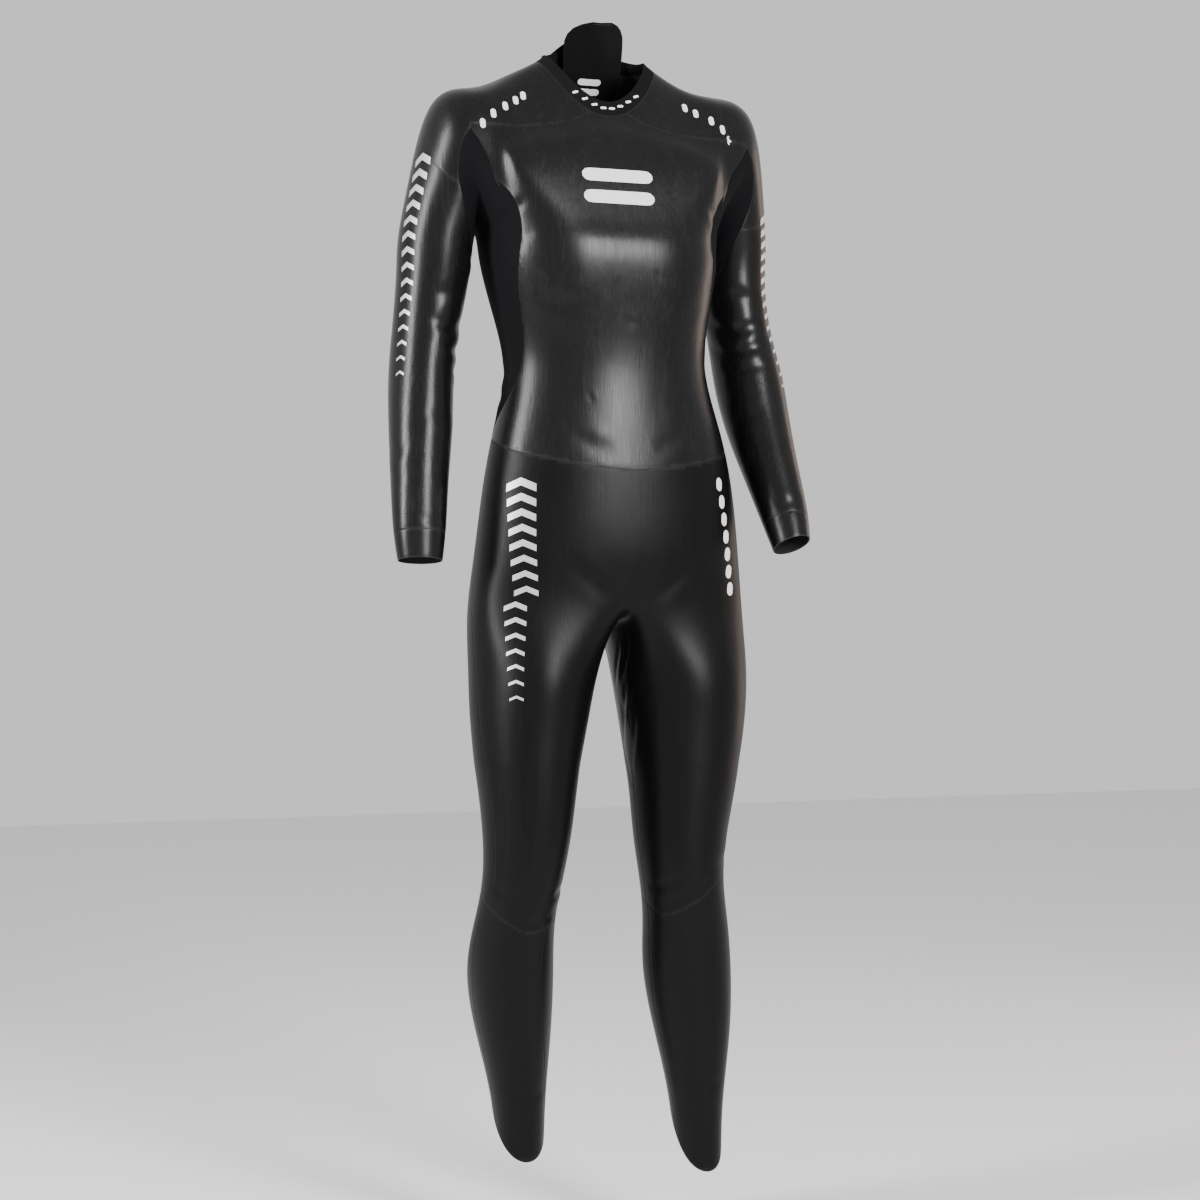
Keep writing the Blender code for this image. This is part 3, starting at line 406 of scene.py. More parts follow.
KNEE_SEAM = {
    -1: (
        (-180, 0.467), (-120, 0.461), (-80, 0.447), (-36, 0.424), (0, 0.415),
        (31, 0.4295), (70, 0.447), (120, 0.461), (180, 0.467),
    ),
    1: (
        (-180, 0.465), (-120, 0.455), (-80, 0.441), (-50, 0.430), (-10, 0.444),
        (25, 0.466), (57, 0.479), (120, 0.476), (180, 0.465),
    ),
}
SHIN_INNER_SEAM = {
    -1: ((0.13, -60), (0.22, -43), (0.30, -25), (0.37, -22), (0.42, -28)),
    1: ((0.13, -84), (0.22, -80), (0.30, -78), (0.37, -77), (0.44, -80)),
}
SHIN_OUTER_SEAM = {
    -1: ((0.13, 84), (0.30, 78), (0.44, 80)),
    1: ((0.13, 70), (0.30, 60), (0.44, 62)),
}
HEM = {-1: (0.157, 0.046), 1: (0.152, 0.047)}  # middle height, and how far the front dips
ZIP_BOTTOM = 1.085
ZIP_TOP = 1.5005
ZIP_HALF = 0.0032
PANELS = (
    "waste", "trunk", "front_panel", "back_panel", "side_panel", "yoke", "sleeve", "cuff", "collar",
    "pants_front", "pants_back", "crotch_gusset", "lower_leg", "shin", "calf", "zip_half",
)


class Places:
    """Points of the skin, with the limb and the side that each is measured on."""

    def __init__(self, points, limb):
        self.x, self.y, self.z = points.T
        self.side = np.where(self.x < 0, -1, 1)
        self.limb = limb

    def on(self, name):
        return self.limb == LIMB_NAMES.index(name)

    def around_trunk(self):
        return np.degrees(np.arctan2(abs(self.x), -self.y))

    def around_leg(self):
        """Degrees outwards from the front of the leg."""
        x, y = leg_centre(self.z, self.side)
        return np.degrees(np.arctan2(self.side * (self.x - x), y - self.y))

    def each(self, tables, t):
        """Reads a table that has one curve for each side."""
        return np.where(self.side > 0, smooth(t, tables[1]), smooth(t, tables[-1]))


# The fields: each is positive on one side of a seam and negative on the other, and close to the
# seam it is roughly the distance from it. Where a limb isn't concerned, it has a set value.
OUTSIDE = 0.1
SIDE_RADIUS, HIP_RADIUS, THIGH_RADIUS, LEG_RADIUS, SHIN_RADIUS = 0.15, 0.17, 0.09, 0.07, 0.05


def arc(angle, radius):
    """The length round a limb that an angle in degrees takes up."""
    return np.radians(angle) * radius


def above_hem(at):
    middle, dip = (np.where(at.side > 0, HEM[1][k], HEM[-1][k]) for k in (0, 1))
    return np.where(at.on("leg"), at.z - middle + dip * np.cos(np.radians(at.around_leg())), 1)


def below_waist(at):
    below = smooth(at.around_trunk(), WAIST_SEAM) - at.z
    return np.where(at.on("leg"), OUTSIDE, np.where(at.on("trunk"), below, -OUTSIDE))


def behind_side_front(at):
    on_trunk = arc(at.around_trunk() - smooth(at.z, SIDE_PANEL_FRONT), SIDE_RADIUS)
    below_top = SIDE_PANEL_TOP - at.z
    inner = np.minimum(abs(at.x) - smooth(at.z, ARM_GUSSET_INNER), below_top)
    on_arm = np.where(at.y > SHOULDER_Y, np.minimum(OUTSIDE, below_top), inner)
    on_body = np.where(at.on("trunk"), on_trunk, on_arm)
    return np.where(at.on("collar"), -OUTSIDE, on_body)


def before_side_back(at):
    on_trunk = arc(smooth(at.z, SIDE_PANEL_BACK) - at.around_trunk(), SIDE_RADIUS)
    behind_arm = at.on("arm") & (at.y > SHOULDER_Y)
    on_arm = np.where(behind_arm, abs(at.x) - smooth(at.z, ARM_GUSSET_INNER), OUTSIDE)
    return np.where(at.on("trunk"), on_trunk, on_arm)


def inside_arm_gusset(at):
    inside = np.minimum(smooth(at.z, ARM_GUSSET_OUTER) - abs(at.x), SIDE_PANEL_TOP - at.z)
    return np.where(at.on("trunk") & (at.z < SIDE_PANEL_TOP - 0.1), OUTSIDE, inside)


def above_yoke(at):
    out = abs(at.x)
    seam = np.where(at.y < SHOULDER_Y, smooth(out, YOKE_FRONT), smooth(out, YOKE_BACK))
    on_arm = at.on("arm") & (out > GUSSET_APEX)
    return at.z - np.where(on_arm, at.each(UPPER_ARM_SEAM, out), seam)


def past_cuff_seam(at):
    past = []
    for side in (-1, 1):
        end, before = (np.array(ARM_POSES[side][k][:3]) for k in (-1, -2))
        axis = (end - before) / np.linalg.norm(end - before)
        here = np.stack([abs(at.x), at.y, at.z], axis=1)
        past.append((here - end) @ axis + CUFF_LENGTH)
    return np.where(at.on("arm"), np.where(at.side > 0, past[1], past[0]), -OUTSIDE)


def inside_gusset(at):
    from_inner = abs(abs(at.around_leg() - 90) - 180)
    spread = arc(smooth(at.z, GUSSET_SPREAD) - from_inner, THIGH_RADIUS) - 0.001
    return np.where(at.on("leg"), spread, -OUTSIDE)


def on_front(at):
    outer = smooth(at.z, LEG_OUTER_SEAM)
    angle = at.around_leg()
    on_leg = arc(np.minimum(outer - angle, angle - at.each(LEG_INNER_SEAM, at.z)), LEG_RADIUS)
    return np.where(at.on("leg"), on_leg, arc(outer - at.around_trunk(), HIP_RADIUS))


def below_knee(at):
    return np.where(at.on("leg"), at.each(KNEE_SEAM, at.around_leg()) - at.z, -OUTSIDE)


def on_shin(at):
    angle = at.around_leg()
    outer, inner = at.each(SHIN_OUTER_SEAM, at.z), at.each(SHIN_INNER_SEAM, at.z)
    return arc(np.minimum(outer - angle, angle - inner), SHIN_RADIUS)


def on_zip(at):
    return np.where(at.y > 0, ZIP_HALF - abs(at.x), -OUTSIDE)


def split_face(loop, value):
    """Splits a face between two points on the seam that have unlike sides between them."""
    zeros = [i for i, point in enumerate(loop) if value[point] == 0]
    for first, i in enumerate(zeros):
        for j in zeros[first + 1 :]:
            one = sum(value[point] for point in loop[i + 1 : j])
            other = sum(value[point] for point in loop[j + 1 :] + loop[:i])
            if one * other < 0:
                return [loop[i : j + 1], loop[j:] + loop[: i + 1]]
    return [loop]


HELD_SNAP = 0.02  # how near, as a share of an edge, a seam may take a point that another holds


def cut(old, new, field, snap=0.28):
    """Cuts the faces of panel old where a field is zero; where it is positive they join panel
    new. Points close to the seam first slide onto it, unless another seam holds them."""
    old, new = PANELS.index(old), PANELS.index(new)
    one, other, face = skin.edges()
    count = len(skin.points)
    mine = skin.panels[face] == old
    used = np.unique(one[mine])
    value = np.zeros(count)
    value[used] = field(Places(skin.points[used], skin.limb[used]))
    lowest, highest = np.full(count, len(PANELS)), np.full(count, -1)
    np.minimum.at(lowest, one, skin.panels[face])
    np.maximum.at(highest, one, skin.panels[face])
    held = skin.border | (lowest != highest)

    slides = []
    for a, b in ((one, other), (other, one)):
        crossed = mine & (value[a] * value[b] < 0)
        a, b = a[crossed], b[crossed]
        share = value[a] / (value[a] - value[b])
        near = share < np.where(held[a], HELD_SNAP, snap)
        place = skin.points[a] + (skin.points[b] - skin.points[a]) * share[:, None]
        slides.append((a[near], share[near], place[near]))
    who, share, place = (np.concatenate(parts) for parts in zip(*slides))
    order = np.argsort(-share, kind="stable")
    target = skin.points.copy()
    target[who[order]] = place[order]
    slid = np.zeros(count, bool)
    slid[who] = True
    skin.points = np.where((slid & ~held)[:, None], target, skin.points)
    value[slid] = 0

    key = skin.edge_key(one, other)
    split = np.unique(key[mine & (value[one] * value[other] < 0)])
    a, b = split // count, split % count
    share = (value[a] / (value[a] - value[b]))[:, None]
    on_split = np.isin(key, split)
    limb = np.full(len(split), len(LIMB_NAMES))
    np.minimum.at(limb, np.searchsorted(split, key[on_split]), skin.limbs[face[on_split]])
    rim = np.isin(split, [k for k, n in zip(*np.unique(key, return_counts=True)) if n == 1])
    between = skin.points[a] * (1 - share) + skin.points[b] * share
    skin.points = np.concatenate([skin.points, between])
    skin.limb = np.concatenate([skin.limb, limb])
    skin.border = np.concatenate([skin.border, rim])
    value = np.concatenate([value, np.zeros(len(split))])

    faces = len(skin.sizes)
    above = np.bincount(face, value[one] > 0, faces) > 0
    below = np.bincount(face, value[one] < 0, faces) > 0
    changed = (skin.panels == old) & above & below
    changed[face[on_split]] = True
    middle = dict(zip(split.tolist(), range(count, count + len(split))))
    start = np.cumsum(skin.sizes) - skin.sizes
    loops, limbs, panels = [], [], []
    for k in np.flatnonzero(changed):
        ring = skin.corners[start[k] : start[k] + skin.sizes[k]].tolist()
        loop = []
        for a, b in zip(ring, ring[1:] + ring[:1]):
            loop.append(a)
            if min(a, b) * count + max(a, b) in middle:
                loop.append(middle[min(a, b) * count + max(a, b)])
        for part in split_face(loop, value) if skin.panels[k] == old else [loop]:
            loops.append(part)
            limbs.append(skin.limbs[k])
            panels.append(skin.panels[k])
    kept = ~changed
    skin.corners = np.concatenate([skin.corners[kept[face]], np.array(sum(loops, []), int)])
    skin.sizes = np.concatenate([skin.sizes[kept], np.array([len(loop) for loop in loops], int)])
    skin.limbs = np.concatenate([skin.limbs[kept], np.array(limbs, int)])
    skin.panels = np.concatenate([skin.panels[kept], np.array(panels, int)])
    one, _, face = skin.edges()
    above = np.bincount(face, value[one]) > 0
    skin.panels[(skin.panels == old) & above] = new


def rename(old, new, wanted):
    """Moves whole faces from one panel to another, by their centres."""
    at = Places(skin.centres(), skin.limbs)
    skin.panels[(skin.panels == PANELS.index(old)) & wanted(at)] = PANELS.index(new)


skin.panels[:] = PANELS.index("trunk")
skin.panels[skin.limbs == LIMB_NAMES.index("collar")] = PANELS.index("collar")
cut("trunk", "waste", lambda at: -above_hem(at))
cut("trunk", "pants_front", below_waist)
cut("trunk", "side_panel", behind_side_front)
cut("side_panel", "trunk", lambda at: -before_side_back(at), snap=0.1)
cut("side_panel", "trunk", lambda at: -inside_arm_gusset(at))
cut("trunk", "yoke", above_yoke)
rename("trunk", "sleeve", lambda at: at.on("arm") & (abs(at.x) > smooth(at.z, ARM_GUSSET_INNER)))
rename("trunk", "back_panel", lambda at: at.around_trunk() > BACK_EDGE_ANGLE)
rename("trunk", "front_panel", lambda at: at.z > 0)
cut("back_panel", "zip_half", on_zip, snap=0)
cut("yoke", "zip_half", on_zip, snap=0)
rename("zip_half", "back_panel", lambda at: at.z < ZIP_BOTTOM)
cut("zip_half", "waste", lambda at: at.z - ZIP_TOP, snap=0)
cut("sleeve", "cuff", past_cuff_seam)
cut("pants_front", "crotch_gusset", inside_gusset)
cut("pants_front", "lower_leg", below_knee)
cut("pants_front", "pants_back", lambda at: -on_front(at))
cut("lower_leg", "shin", on_shin)
rename("lower_leg", "calf", lambda at: at.z > 0)

# ------------------------------------------------------------------ the creases
# Neoprene folds softly where a limb bends or two panels pull on each other. Each crease is a
# trough with a low ridge along one side, through points given round a limb and by height, and
# is pressed into the skin along its normals.

Crease = namedtuple("Crease", "limb side path width depth")  # width and depth in millimetres
CREASES = (
    # inside and outside of the elbows
    Crease("arm", -1, ((-95, 1.176), (-40, 1.160), (15, 1.170)), 8.0, 2.6),
    Crease("arm", -1, ((-110, 1.148), (-55, 1.134), (-8, 1.146)), 6.5, 2.2),
    Crease("arm", -1, ((-60, 1.199), (-22, 1.206), (22, 1.194)), 8.5, 1.6),
    Crease("arm", -1, ((-128, 1.120), (-84, 1.106), (-45, 1.116)), 6.0, 1.5),
    Crease("arm", -1, ((140, 1.138), (178, 1.118), (216, 1.132)), 9.0, 1.3),
    Crease("arm", -1, ((152, 1.104), (186, 1.093), (214, 1.101)), 7.0, 0.9),
    Crease("arm", 1, ((-92, 1.186), (-38, 1.172), (20, 1.184)), 8.0, 2.8),
    Crease("arm", 1, ((-104, 1.158), (-60, 1.144), (-4, 1.152), (34, 1.163)), 7.0, 2.4),
    Crease("arm", 1, ((-70, 1.132), (-34, 1.122), (8, 1.130)), 6.0, 1.6),
    Crease("arm", 1, ((-52, 1.212), (-16, 1.218), (26, 1.207)), 9.0, 1.5),
    Crease("arm", 1, ((146, 1.150), (182, 1.132), (222, 1.147)), 9.5, 1.4),
    Crease("arm", 1, ((158, 1.117), (184, 1.108), (206, 1.114)), 7.0, 0.9),
    # forearms and wrists
    Crease("arm", -1, ((-72, 1.064), (-30, 1.052), (10, 1.058)), 9.0, 0.9),
    Crease("arm", -1, ((30, 1.020), (64, 1.008), (104, 1.018)), 10.0, 0.8),
    Crease("arm", -1, ((-70, 0.928), (-20, 0.921), (24, 0.926)), 5.5, 0.8),
    Crease("arm", -1, ((120, 0.934), (160, 0.926), (204, 0.932)), 6.0, 0.9),
    Crease("arm", 1, ((-84, 1.072), (-46, 1.060), (-6, 1.066)), 9.0, 1.0),
    Crease("arm", 1, ((60, 1.030), (96, 1.020), (130, 1.031)), 9.0, 0.8),
    Crease("arm", 1, ((-60, 0.958), (-14, 0.948), (32, 0.955)), 6.0, 0.9),
    # armpits
    Crease("arm", -1, ((-62, 1.262), (-48, 1.283), (-30, 1.312)), 7.0, 1.7),
    Crease("arm", -1, ((-86, 1.244), (-58, 1.252), (-28, 1.274)), 6.0, 1.4),
    Crease("arm", -1, ((-150, 1.262), (-166, 1.286), (170, 1.316)), 8.0, 1.8),
    Crease("arm", 1, ((-58, 1.266), (-44, 1.288), (-26, 1.316)), 7.0, 1.7),
    Crease("arm", 1, ((-84, 1.248), (-54, 1.256), (-22, 1.279)), 6.0, 1.3),
    Crease("arm", 1, ((-148, 1.266), (-164, 1.291), (172, 1.320)), 8.0, 1.8),
    Crease("trunk", -1, ((76, 1.284), (66, 1.296), (55, 1.315)), 6.5, 1.3),
    Crease("trunk", -1, ((80, 1.262), (66, 1.262), (52, 1.272)), 8.0, 1.0),
    Crease("trunk", 1, ((77, 1.286), (65, 1.299), (53, 1.318)), 6.5, 1.3),
    Crease("trunk", 1, ((82, 1.258), (68, 1.260), (55, 1.269)), 8.0, 0.9),
    Crease("trunk", -1, ((112, 1.270), (124, 1.287), (137, 1.316)), 9.0, 1.7),
    Crease("trunk", 1, ((113, 1.274), (126, 1.290), (138, 1.322)), 9.0, 1.6),
    # under the bust, the stomach and the waist
    Crease("trunk", -1, ((58, 1.196), (40, 1.186), (20, 1.190)), 12.0, 0.9),
    Crease("trunk", 1, ((60, 1.198), (42, 1.187), (24, 1.192)), 12.0, 0.9),
    Crease("trunk", 1, ((2, 1.171), (4, 1.166), (7, 1.164)), 2.5, 0.7),
    Crease("trunk", 1, ((19, 1.231), (20, 1.224), (22, 1.219)), 2.5, 0.6),
    Crease("trunk", -1, ((33, 1.077), (30, 1.071), (28, 1.068)), 3.0, 0.6),
    Crease("trunk", -1, ((72, 1.118), (92, 1.108), (112, 1.112)), 10.0, 1.4),
    Crease("trunk", -1, ((82, 1.088), (99, 1.080), (120, 1.086)), 8.5, 1.2),
    Crease("trunk", 1, ((70, 1.124), (90, 1.113), (114, 1.118)), 10.0, 1.4),
    Crease("trunk", 1, ((84, 1.092), (101, 1.083), (118, 1.089)), 8.5, 1.1),
    Crease("trunk", -1, ((44, 1.030), (30, 1.014), (14, 1.008)), 10.0, 0.9),
    Crease("trunk", 1, ((40, 1.034), (27, 1.018), (16, 1.011)), 9.0, 0.8),
    # the small of the back
    Crease("trunk", -1, ((128, 1.128), (150, 1.114), (172, 1.120)), 11.0, 2.2),
    Crease("trunk", 1, ((126, 1.134), (148, 1.119), (173, 1.125)), 11.0, 2.3),
    Crease("trunk", -1, ((134, 1.094), (156, 1.083), (174, 1.087)), 9.0, 1.9),
    Crease("trunk", 1, ((136, 1.098), (155, 1.086), (173, 1.091)), 9.5, 1.7),
    Crease("trunk", -1, ((124, 1.160), (140, 1.151), (160, 1.155)), 10.0, 1.2),
    Crease("trunk", 1, ((130, 1.064), (150, 1.057), (168, 1.062)), 9.0, 1.2),
    # shoulder blades
    Crease("trunk", -1, ((142, 1.335), (150, 1.306), (153, 1.275)), 13.0, 1.2),
    Crease("trunk", 1, ((140, 1.342), (149, 1.312), (153, 1.279)), 13.0, 1.2),
    # the groin and under the seat
    Crease("trunk", -1, ((46, 0.872), (30, 0.845), (16, 0.822)), 10.0, 1.2),
    Crease("trunk", 1, ((48, 0.876), (33, 0.848), (18, 0.824)), 10.0, 1.2),
    Crease("leg", -1, ((-172, 0.806), (164, 0.795), (138, 0.801)), 12.0, 2.8),
    Crease("leg", 1, ((-170, 0.804), (166, 0.793), (136, 0.799)), 12.0, 2.8),
    Crease("leg", -1, ((-166, 0.772), (172, 0.764), (152, 0.769)), 9.0, 1.3),
    Crease("leg", 1, ((-162, 0.770), (174, 0.761), (150, 0.768)), 9.0, 1.3),
    # inner thighs
    Crease("leg", 1, ((-62, 0.779), (-68, 0.752), (-80, 0.722)), 4.0, 1.7),
    Crease("leg", 1, ((-74, 0.768), (-82, 0.744), (-94, 0.712)), 3.6, 1.8),
    Crease("leg", 1, ((-58, 0.742), (-66, 0.716), (-76, 0.690)), 4.2, 1.4),
    Crease("leg", 1, ((-72, 0.722), (-80, 0.694), (-90, 0.664)), 4.0, 1.6),
    Crease("leg", 1, ((-84, 0.700), (-88, 0.672), (-98, 0.640)), 4.5, 1.3),
    Crease("leg", 1, ((-66, 0.684), (-72, 0.655), (-80, 0.622)), 5.0, 1.1),
    Crease("leg", 1, ((-78, 0.656), (-82, 0.628), (-86, 0.600)), 5.0, 0.9),
    Crease("leg", -1, ((-60, 0.776), (-70, 0.750), (-84, 0.724)), 4.2, 1.6),
    Crease("leg", -1, ((-76, 0.764), (-86, 0.736), (-98, 0.708)), 3.8, 1.7),
    Crease("leg", -1, ((-68, 0.726), (-78, 0.698), (-92, 0.668)), 4.4, 1.4),
    Crease("leg", -1, ((-84, 0.690), (-90, 0.660), (-100, 0.632)), 4.8, 1.1),
    # the knees, front and back
    Crease("leg", -1, ((-44, 0.437), (-8, 0.426), (34, 0.441)), 5.0, 1.4),
    Crease("leg", -1, ((-76, 0.474), (-54, 0.464), (-30, 0.462)), 5.5, 1.5),
    Crease("leg", -1, ((10, 0.458), (36, 0.462), (60, 0.474)), 7.0, 0.9),
    Crease("leg", 1, ((-58, 0.441), (-22, 0.452), (22, 0.478)), 5.5, 1.5),
    Crease("leg", 1, ((-74, 0.462), (-50, 0.466), (-26, 0.476)), 6.0, 1.2),
    Crease("leg", 1, ((20, 0.498), (48, 0.496), (74, 0.506)), 7.0, 0.9),
    Crease("leg", -1, ((130, 0.492), (168, 0.479), (214, 0.488)), 8.0, 2.7),
    Crease("leg", -1, ((142, 0.462), (180, 0.452), (220, 0.460)), 7.0, 2.3),
    Crease("leg", -1, ((148, 0.520), (176, 0.511), (204, 0.517)), 8.0, 1.6),
    Crease("leg", -1, ((154, 0.434), (186, 0.426), (212, 0.433)), 7.0, 1.4),
    Crease("leg", 1, ((134, 0.488), (172, 0.476), (216, 0.486)), 8.0, 2.2),
    Crease("leg", 1, ((146, 0.458), (184, 0.449), (222, 0.457)), 7.0, 1.9),
    Crease("leg", 1, ((152, 0.516), (180, 0.508), (206, 0.514)), 8.0, 1.2),
    # the ankles
    Crease("leg", -1, ((-50, 0.206), (-6, 0.196), (40, 0.203)), 6.0, 1.2),
    Crease("leg", -1, ((150, 0.246), (184, 0.236), (218, 0.244)), 6.5, 1.5),
    Crease("leg", -1, ((136, 0.222), (172, 0.214), (200, 0.219)), 5.5, 1.3),
    Crease("leg", 1, ((-44, 0.224), (-2, 0.213), (36, 0.220)), 6.0, 1.1),
    Crease("leg", 1, ((148, 0.240), (180, 0.231), (212, 0.238)), 6.5, 1.3),
    Crease("leg", 1, ((-70, 0.190), (-34, 0.184), (0, 0.188)), 5.0, 0.9),
)


COLLAR_MIDDLE = 0.012


def as_tree():
    """The skin as a tree that rays are cast on."""
    start = np.cumsum(skin.sizes) - skin.sizes
    wanted = skin.panels != PANELS.index("waste")
    faces = [
        skin.corners[a : a + n].tolist()
        for a, n in zip(start[wanted].tolist(), skin.sizes[wanted].tolist())
    ]
    return BVHTree.FromPolygons(skin.points.tolist(), faces)


def on_skin(tree, limb, side, angle, height):
    """The place on a limb's surface at an angle from its front and at a height, and the normal
    there. Rays go out level from the limb's centre line."""
    if limb == "arm":
        x, y = arm_centre(height, side)
    elif limb == "leg":
        x, y = leg_centre(height, side)
    else:
        x, y = 0, COLLAR_MIDDLE if limb == "collar" else 0
    out = Vector((side * sin(radians(angle)), -cos(radians(angle)), 0))
    place, normal, *_ = tree.ray_cast(Vector((float(x), float(y), height)), out)
    return place, normal if normal.dot(out) > 0 else -normal


RIDGE, RIDGE_AT, RIDGE_SPREAD = 0.45, 1.7, 1.2  # its height, place and width beside a trough
DEEPEST, HIGHEST = -0.005, 0.003
FELT, END_TAPER = 3.5, 0.8  # how many widths away a crease is still felt, and how its ends fade


def press_creases():
    """Adds up what every crease does to the points near it, and moves the skin by that."""
    tree = as_tree()
    normals = skin.normals()
    moved = np.zeros(len(skin.points))
    for limb, side, path, width, depth in CREASES:
        found = [on_skin(tree, limb, side, *place) for place in path]
        places = np.array([place for place, _ in found])
        outward = np.mean([normal for _, normal in found], axis=0)
        steps = np.linalg.norm(np.diff(places, axis=0), axis=1)
        at = np.concatenate([[0], np.cumsum(steps)])
        width, depth = width / 1000, depth / 1000
        count = max(int(at[-1] / width * 4), 12)
        t = np.linspace(0, at[-1], count)
        line = np.stack([smooth(t, list(zip(at, places[:, k]))) for k in range(3)], axis=1)
        tangent = np.gradient(line, axis=0)
        tangent /= np.linalg.norm(tangent, axis=1)[:, None]
        reach = FELT * width
        near = ((skin.points > line.min(0) - reach) & (skin.points < line.max(0) + reach)).all(1)
        near = np.flatnonzero(near & (normals @ outward > 0))
        offset = skin.points[near, None] - line
        nearest = (offset**2).sum(2).argmin(1)
        offset = offset[np.arange(len(near)), nearest]
        across = np.cross(normals[near], tangent[nearest])
        u = (offset * across).sum(1) / width
        past = (offset * tangent[nearest]).sum(1) / width
        share = t[nearest] / at[-1]
        taper = np.sin(pi * np.clip(share, 0, 1)) ** END_TAPER * np.exp(-(past**2))
        ridge = RIDGE * np.exp(-(((u - RIDGE_AT) / RIDGE_SPREAD) ** 2))
        shape = np.exp(-(u**2)) - ridge
        moved[near] -= depth * shape * taper
    skin.points = skin.points + normals * np.clip(moved, DEEPEST, HIGHEST)[:, None]


press_creases()
draft = as_tree()


# An arm leans with the trunk only this near the middle and this high up: where that starts or
# ends, and over how much it does.
ARM_LEANS_IN, ARM_LEANS_UP = (0.178, 0.022), (1.27, 0.02)


def stand(points, on_arm=False):
    """Drafted points as the suit stands: the trunk leans, and the origin is at the shoulders."""
    x, y, z = np.asarray(points, float).T
    (out, fade), (foot, rise) = ARM_LEANS_IN, ARM_LEANS_UP
    beside = np.clip((out - abs(x)) / fade, 0, 1) * np.clip((z - foot) / rise, 0, 1)
    share = np.where(on_arm, beside * beside * (3 - 2 * beside), 1)
    return np.stack([x + smooth(z, LEAN) * share, y, z - SHOULDER_LEVEL], axis=1)


NEAR = 1e-4


def open_collar():
    """Parts the collar at the centre back: the right half's faces get points of their own."""
    x, y, z = skin.points.T
    slit = np.flatnonzero((y > 0) & (abs(x) < NEAR) & (z > ZIP_TOP - NEAR))
    right = (skin.centres()[:, 0] < 0) & (skin.panels == PANELS.index("collar"))
    index = np.arange(len(skin.points))
    index[slit] = len(skin.points) + np.arange(len(slit))
    _, _, face = skin.edges()
    skin.corners = np.where(right[face], index[skin.corners], skin.corners)
    skin.points = np.concatenate([skin.points, skin.points[slit]])
    skin.limb = np.concatenate([skin.limb, skin.limb[slit]])
    return slit


skin_normals = skin.normals()
slit = open_collar()
skin.points = stand(skin.points, skin.limb == LIMB_NAMES.index("arm"))
skin_normals = np.concatenate([skin_normals, skin_normals[slit]])

# ------------------------------------------------------------------ smooth-skin neoprene
# Closed-cell rubber foam with a smooth outer skin, a cut edge, and a knitted lining glued to
# its inner side. The skin has a satin gloss with fine scuffs that run down the body.


class Shade:
    """One output of a shader node. Sums and products of shades add Math nodes."""

    def __init__(self, tree, socket):
        self.tree = tree
        self.socket = socket

    def node(self, kind, settings, inputs, output=0):
        """Adds a node of any kind: its settings first, then the values or links of its sockets."""
        made = self.tree.nodes.new("ShaderNode" + kind)
        for name, value in settings.items():
            if name == "stops":
                for element, (place, grey) in zip(made.color_ramp.elements, value):
                    element.position = place
                    element.color = (grey, grey, grey, 1)
            else:
                setattr(made, name, value)
        for name, value in inputs.items():
            if isinstance(value, Shade):
                self.tree.links.new(value.socket, made.inputs[name])
            else:
                made.inputs[name].default_value = value
        return Shade(self.tree, made.outputs[output])

    def math(self, operation, one, other):
        return self.node("Math", {"operation": operation}, {0: one, 1: other})

    def __add__(self, other):
        return self.math("ADD", self, other)

    def __radd__(self, other):
        return self.math("ADD", other, self)

    def __sub__(self, other):
        return self.math("SUBTRACT", self, other)

    def __rsub__(self, other):
        return self.math("SUBTRACT", other, self)

    def __mul__(self, other):
        return self.math("MULTIPLY", self, other)

    def __rmul__(self, other):
        return self.math("MULTIPLY", other, self)

    def noise(self, scale, stretch=(1, 1, 1), detail=3):
        """Noise from 0 to 1 on the object's own coordinates, which self must be."""
        place = self.node("Mapping", {}, {"Vector": self, "Scale": stretch})
        return self.node("TexNoise", {}, {"Vector": place, "Scale": scale, "Detail": detail})

    def mix(self, factor, one, other):
        settings = {"data_type": "RGBA"}
        return self.node("Mix", settings, {0: factor, 6: one, 7: other}, output=2)


def new_material(name):
    """A material with its principled shader, and the object's coordinates as a shade."""
    material = bpy.data.materials.new(name)
    material.use_nodes = True
    tree = material.node_tree
    start = tree.nodes.new("ShaderNodeTexCoord")
    return material, tree.nodes["Principled BSDF"], Shade(tree, start.outputs["Object"])


def finish_material(shader, place, colour, roughness, height, depth):
    """Links what varies over a surface: colour, roughness, and a bump of a depth in metres."""
    tree = place.tree
    bump = place.node("Bump", {}, {"Height": height, "Distance": depth, "Strength": 1.0})
    tree.links.new(bump.socket, shader.inputs["Normal"])
    tree.links.new(colour.socket, shader.inputs["Base Color"])
    tree.links.new(roughness.socket, shader.inputs["Roughness"])


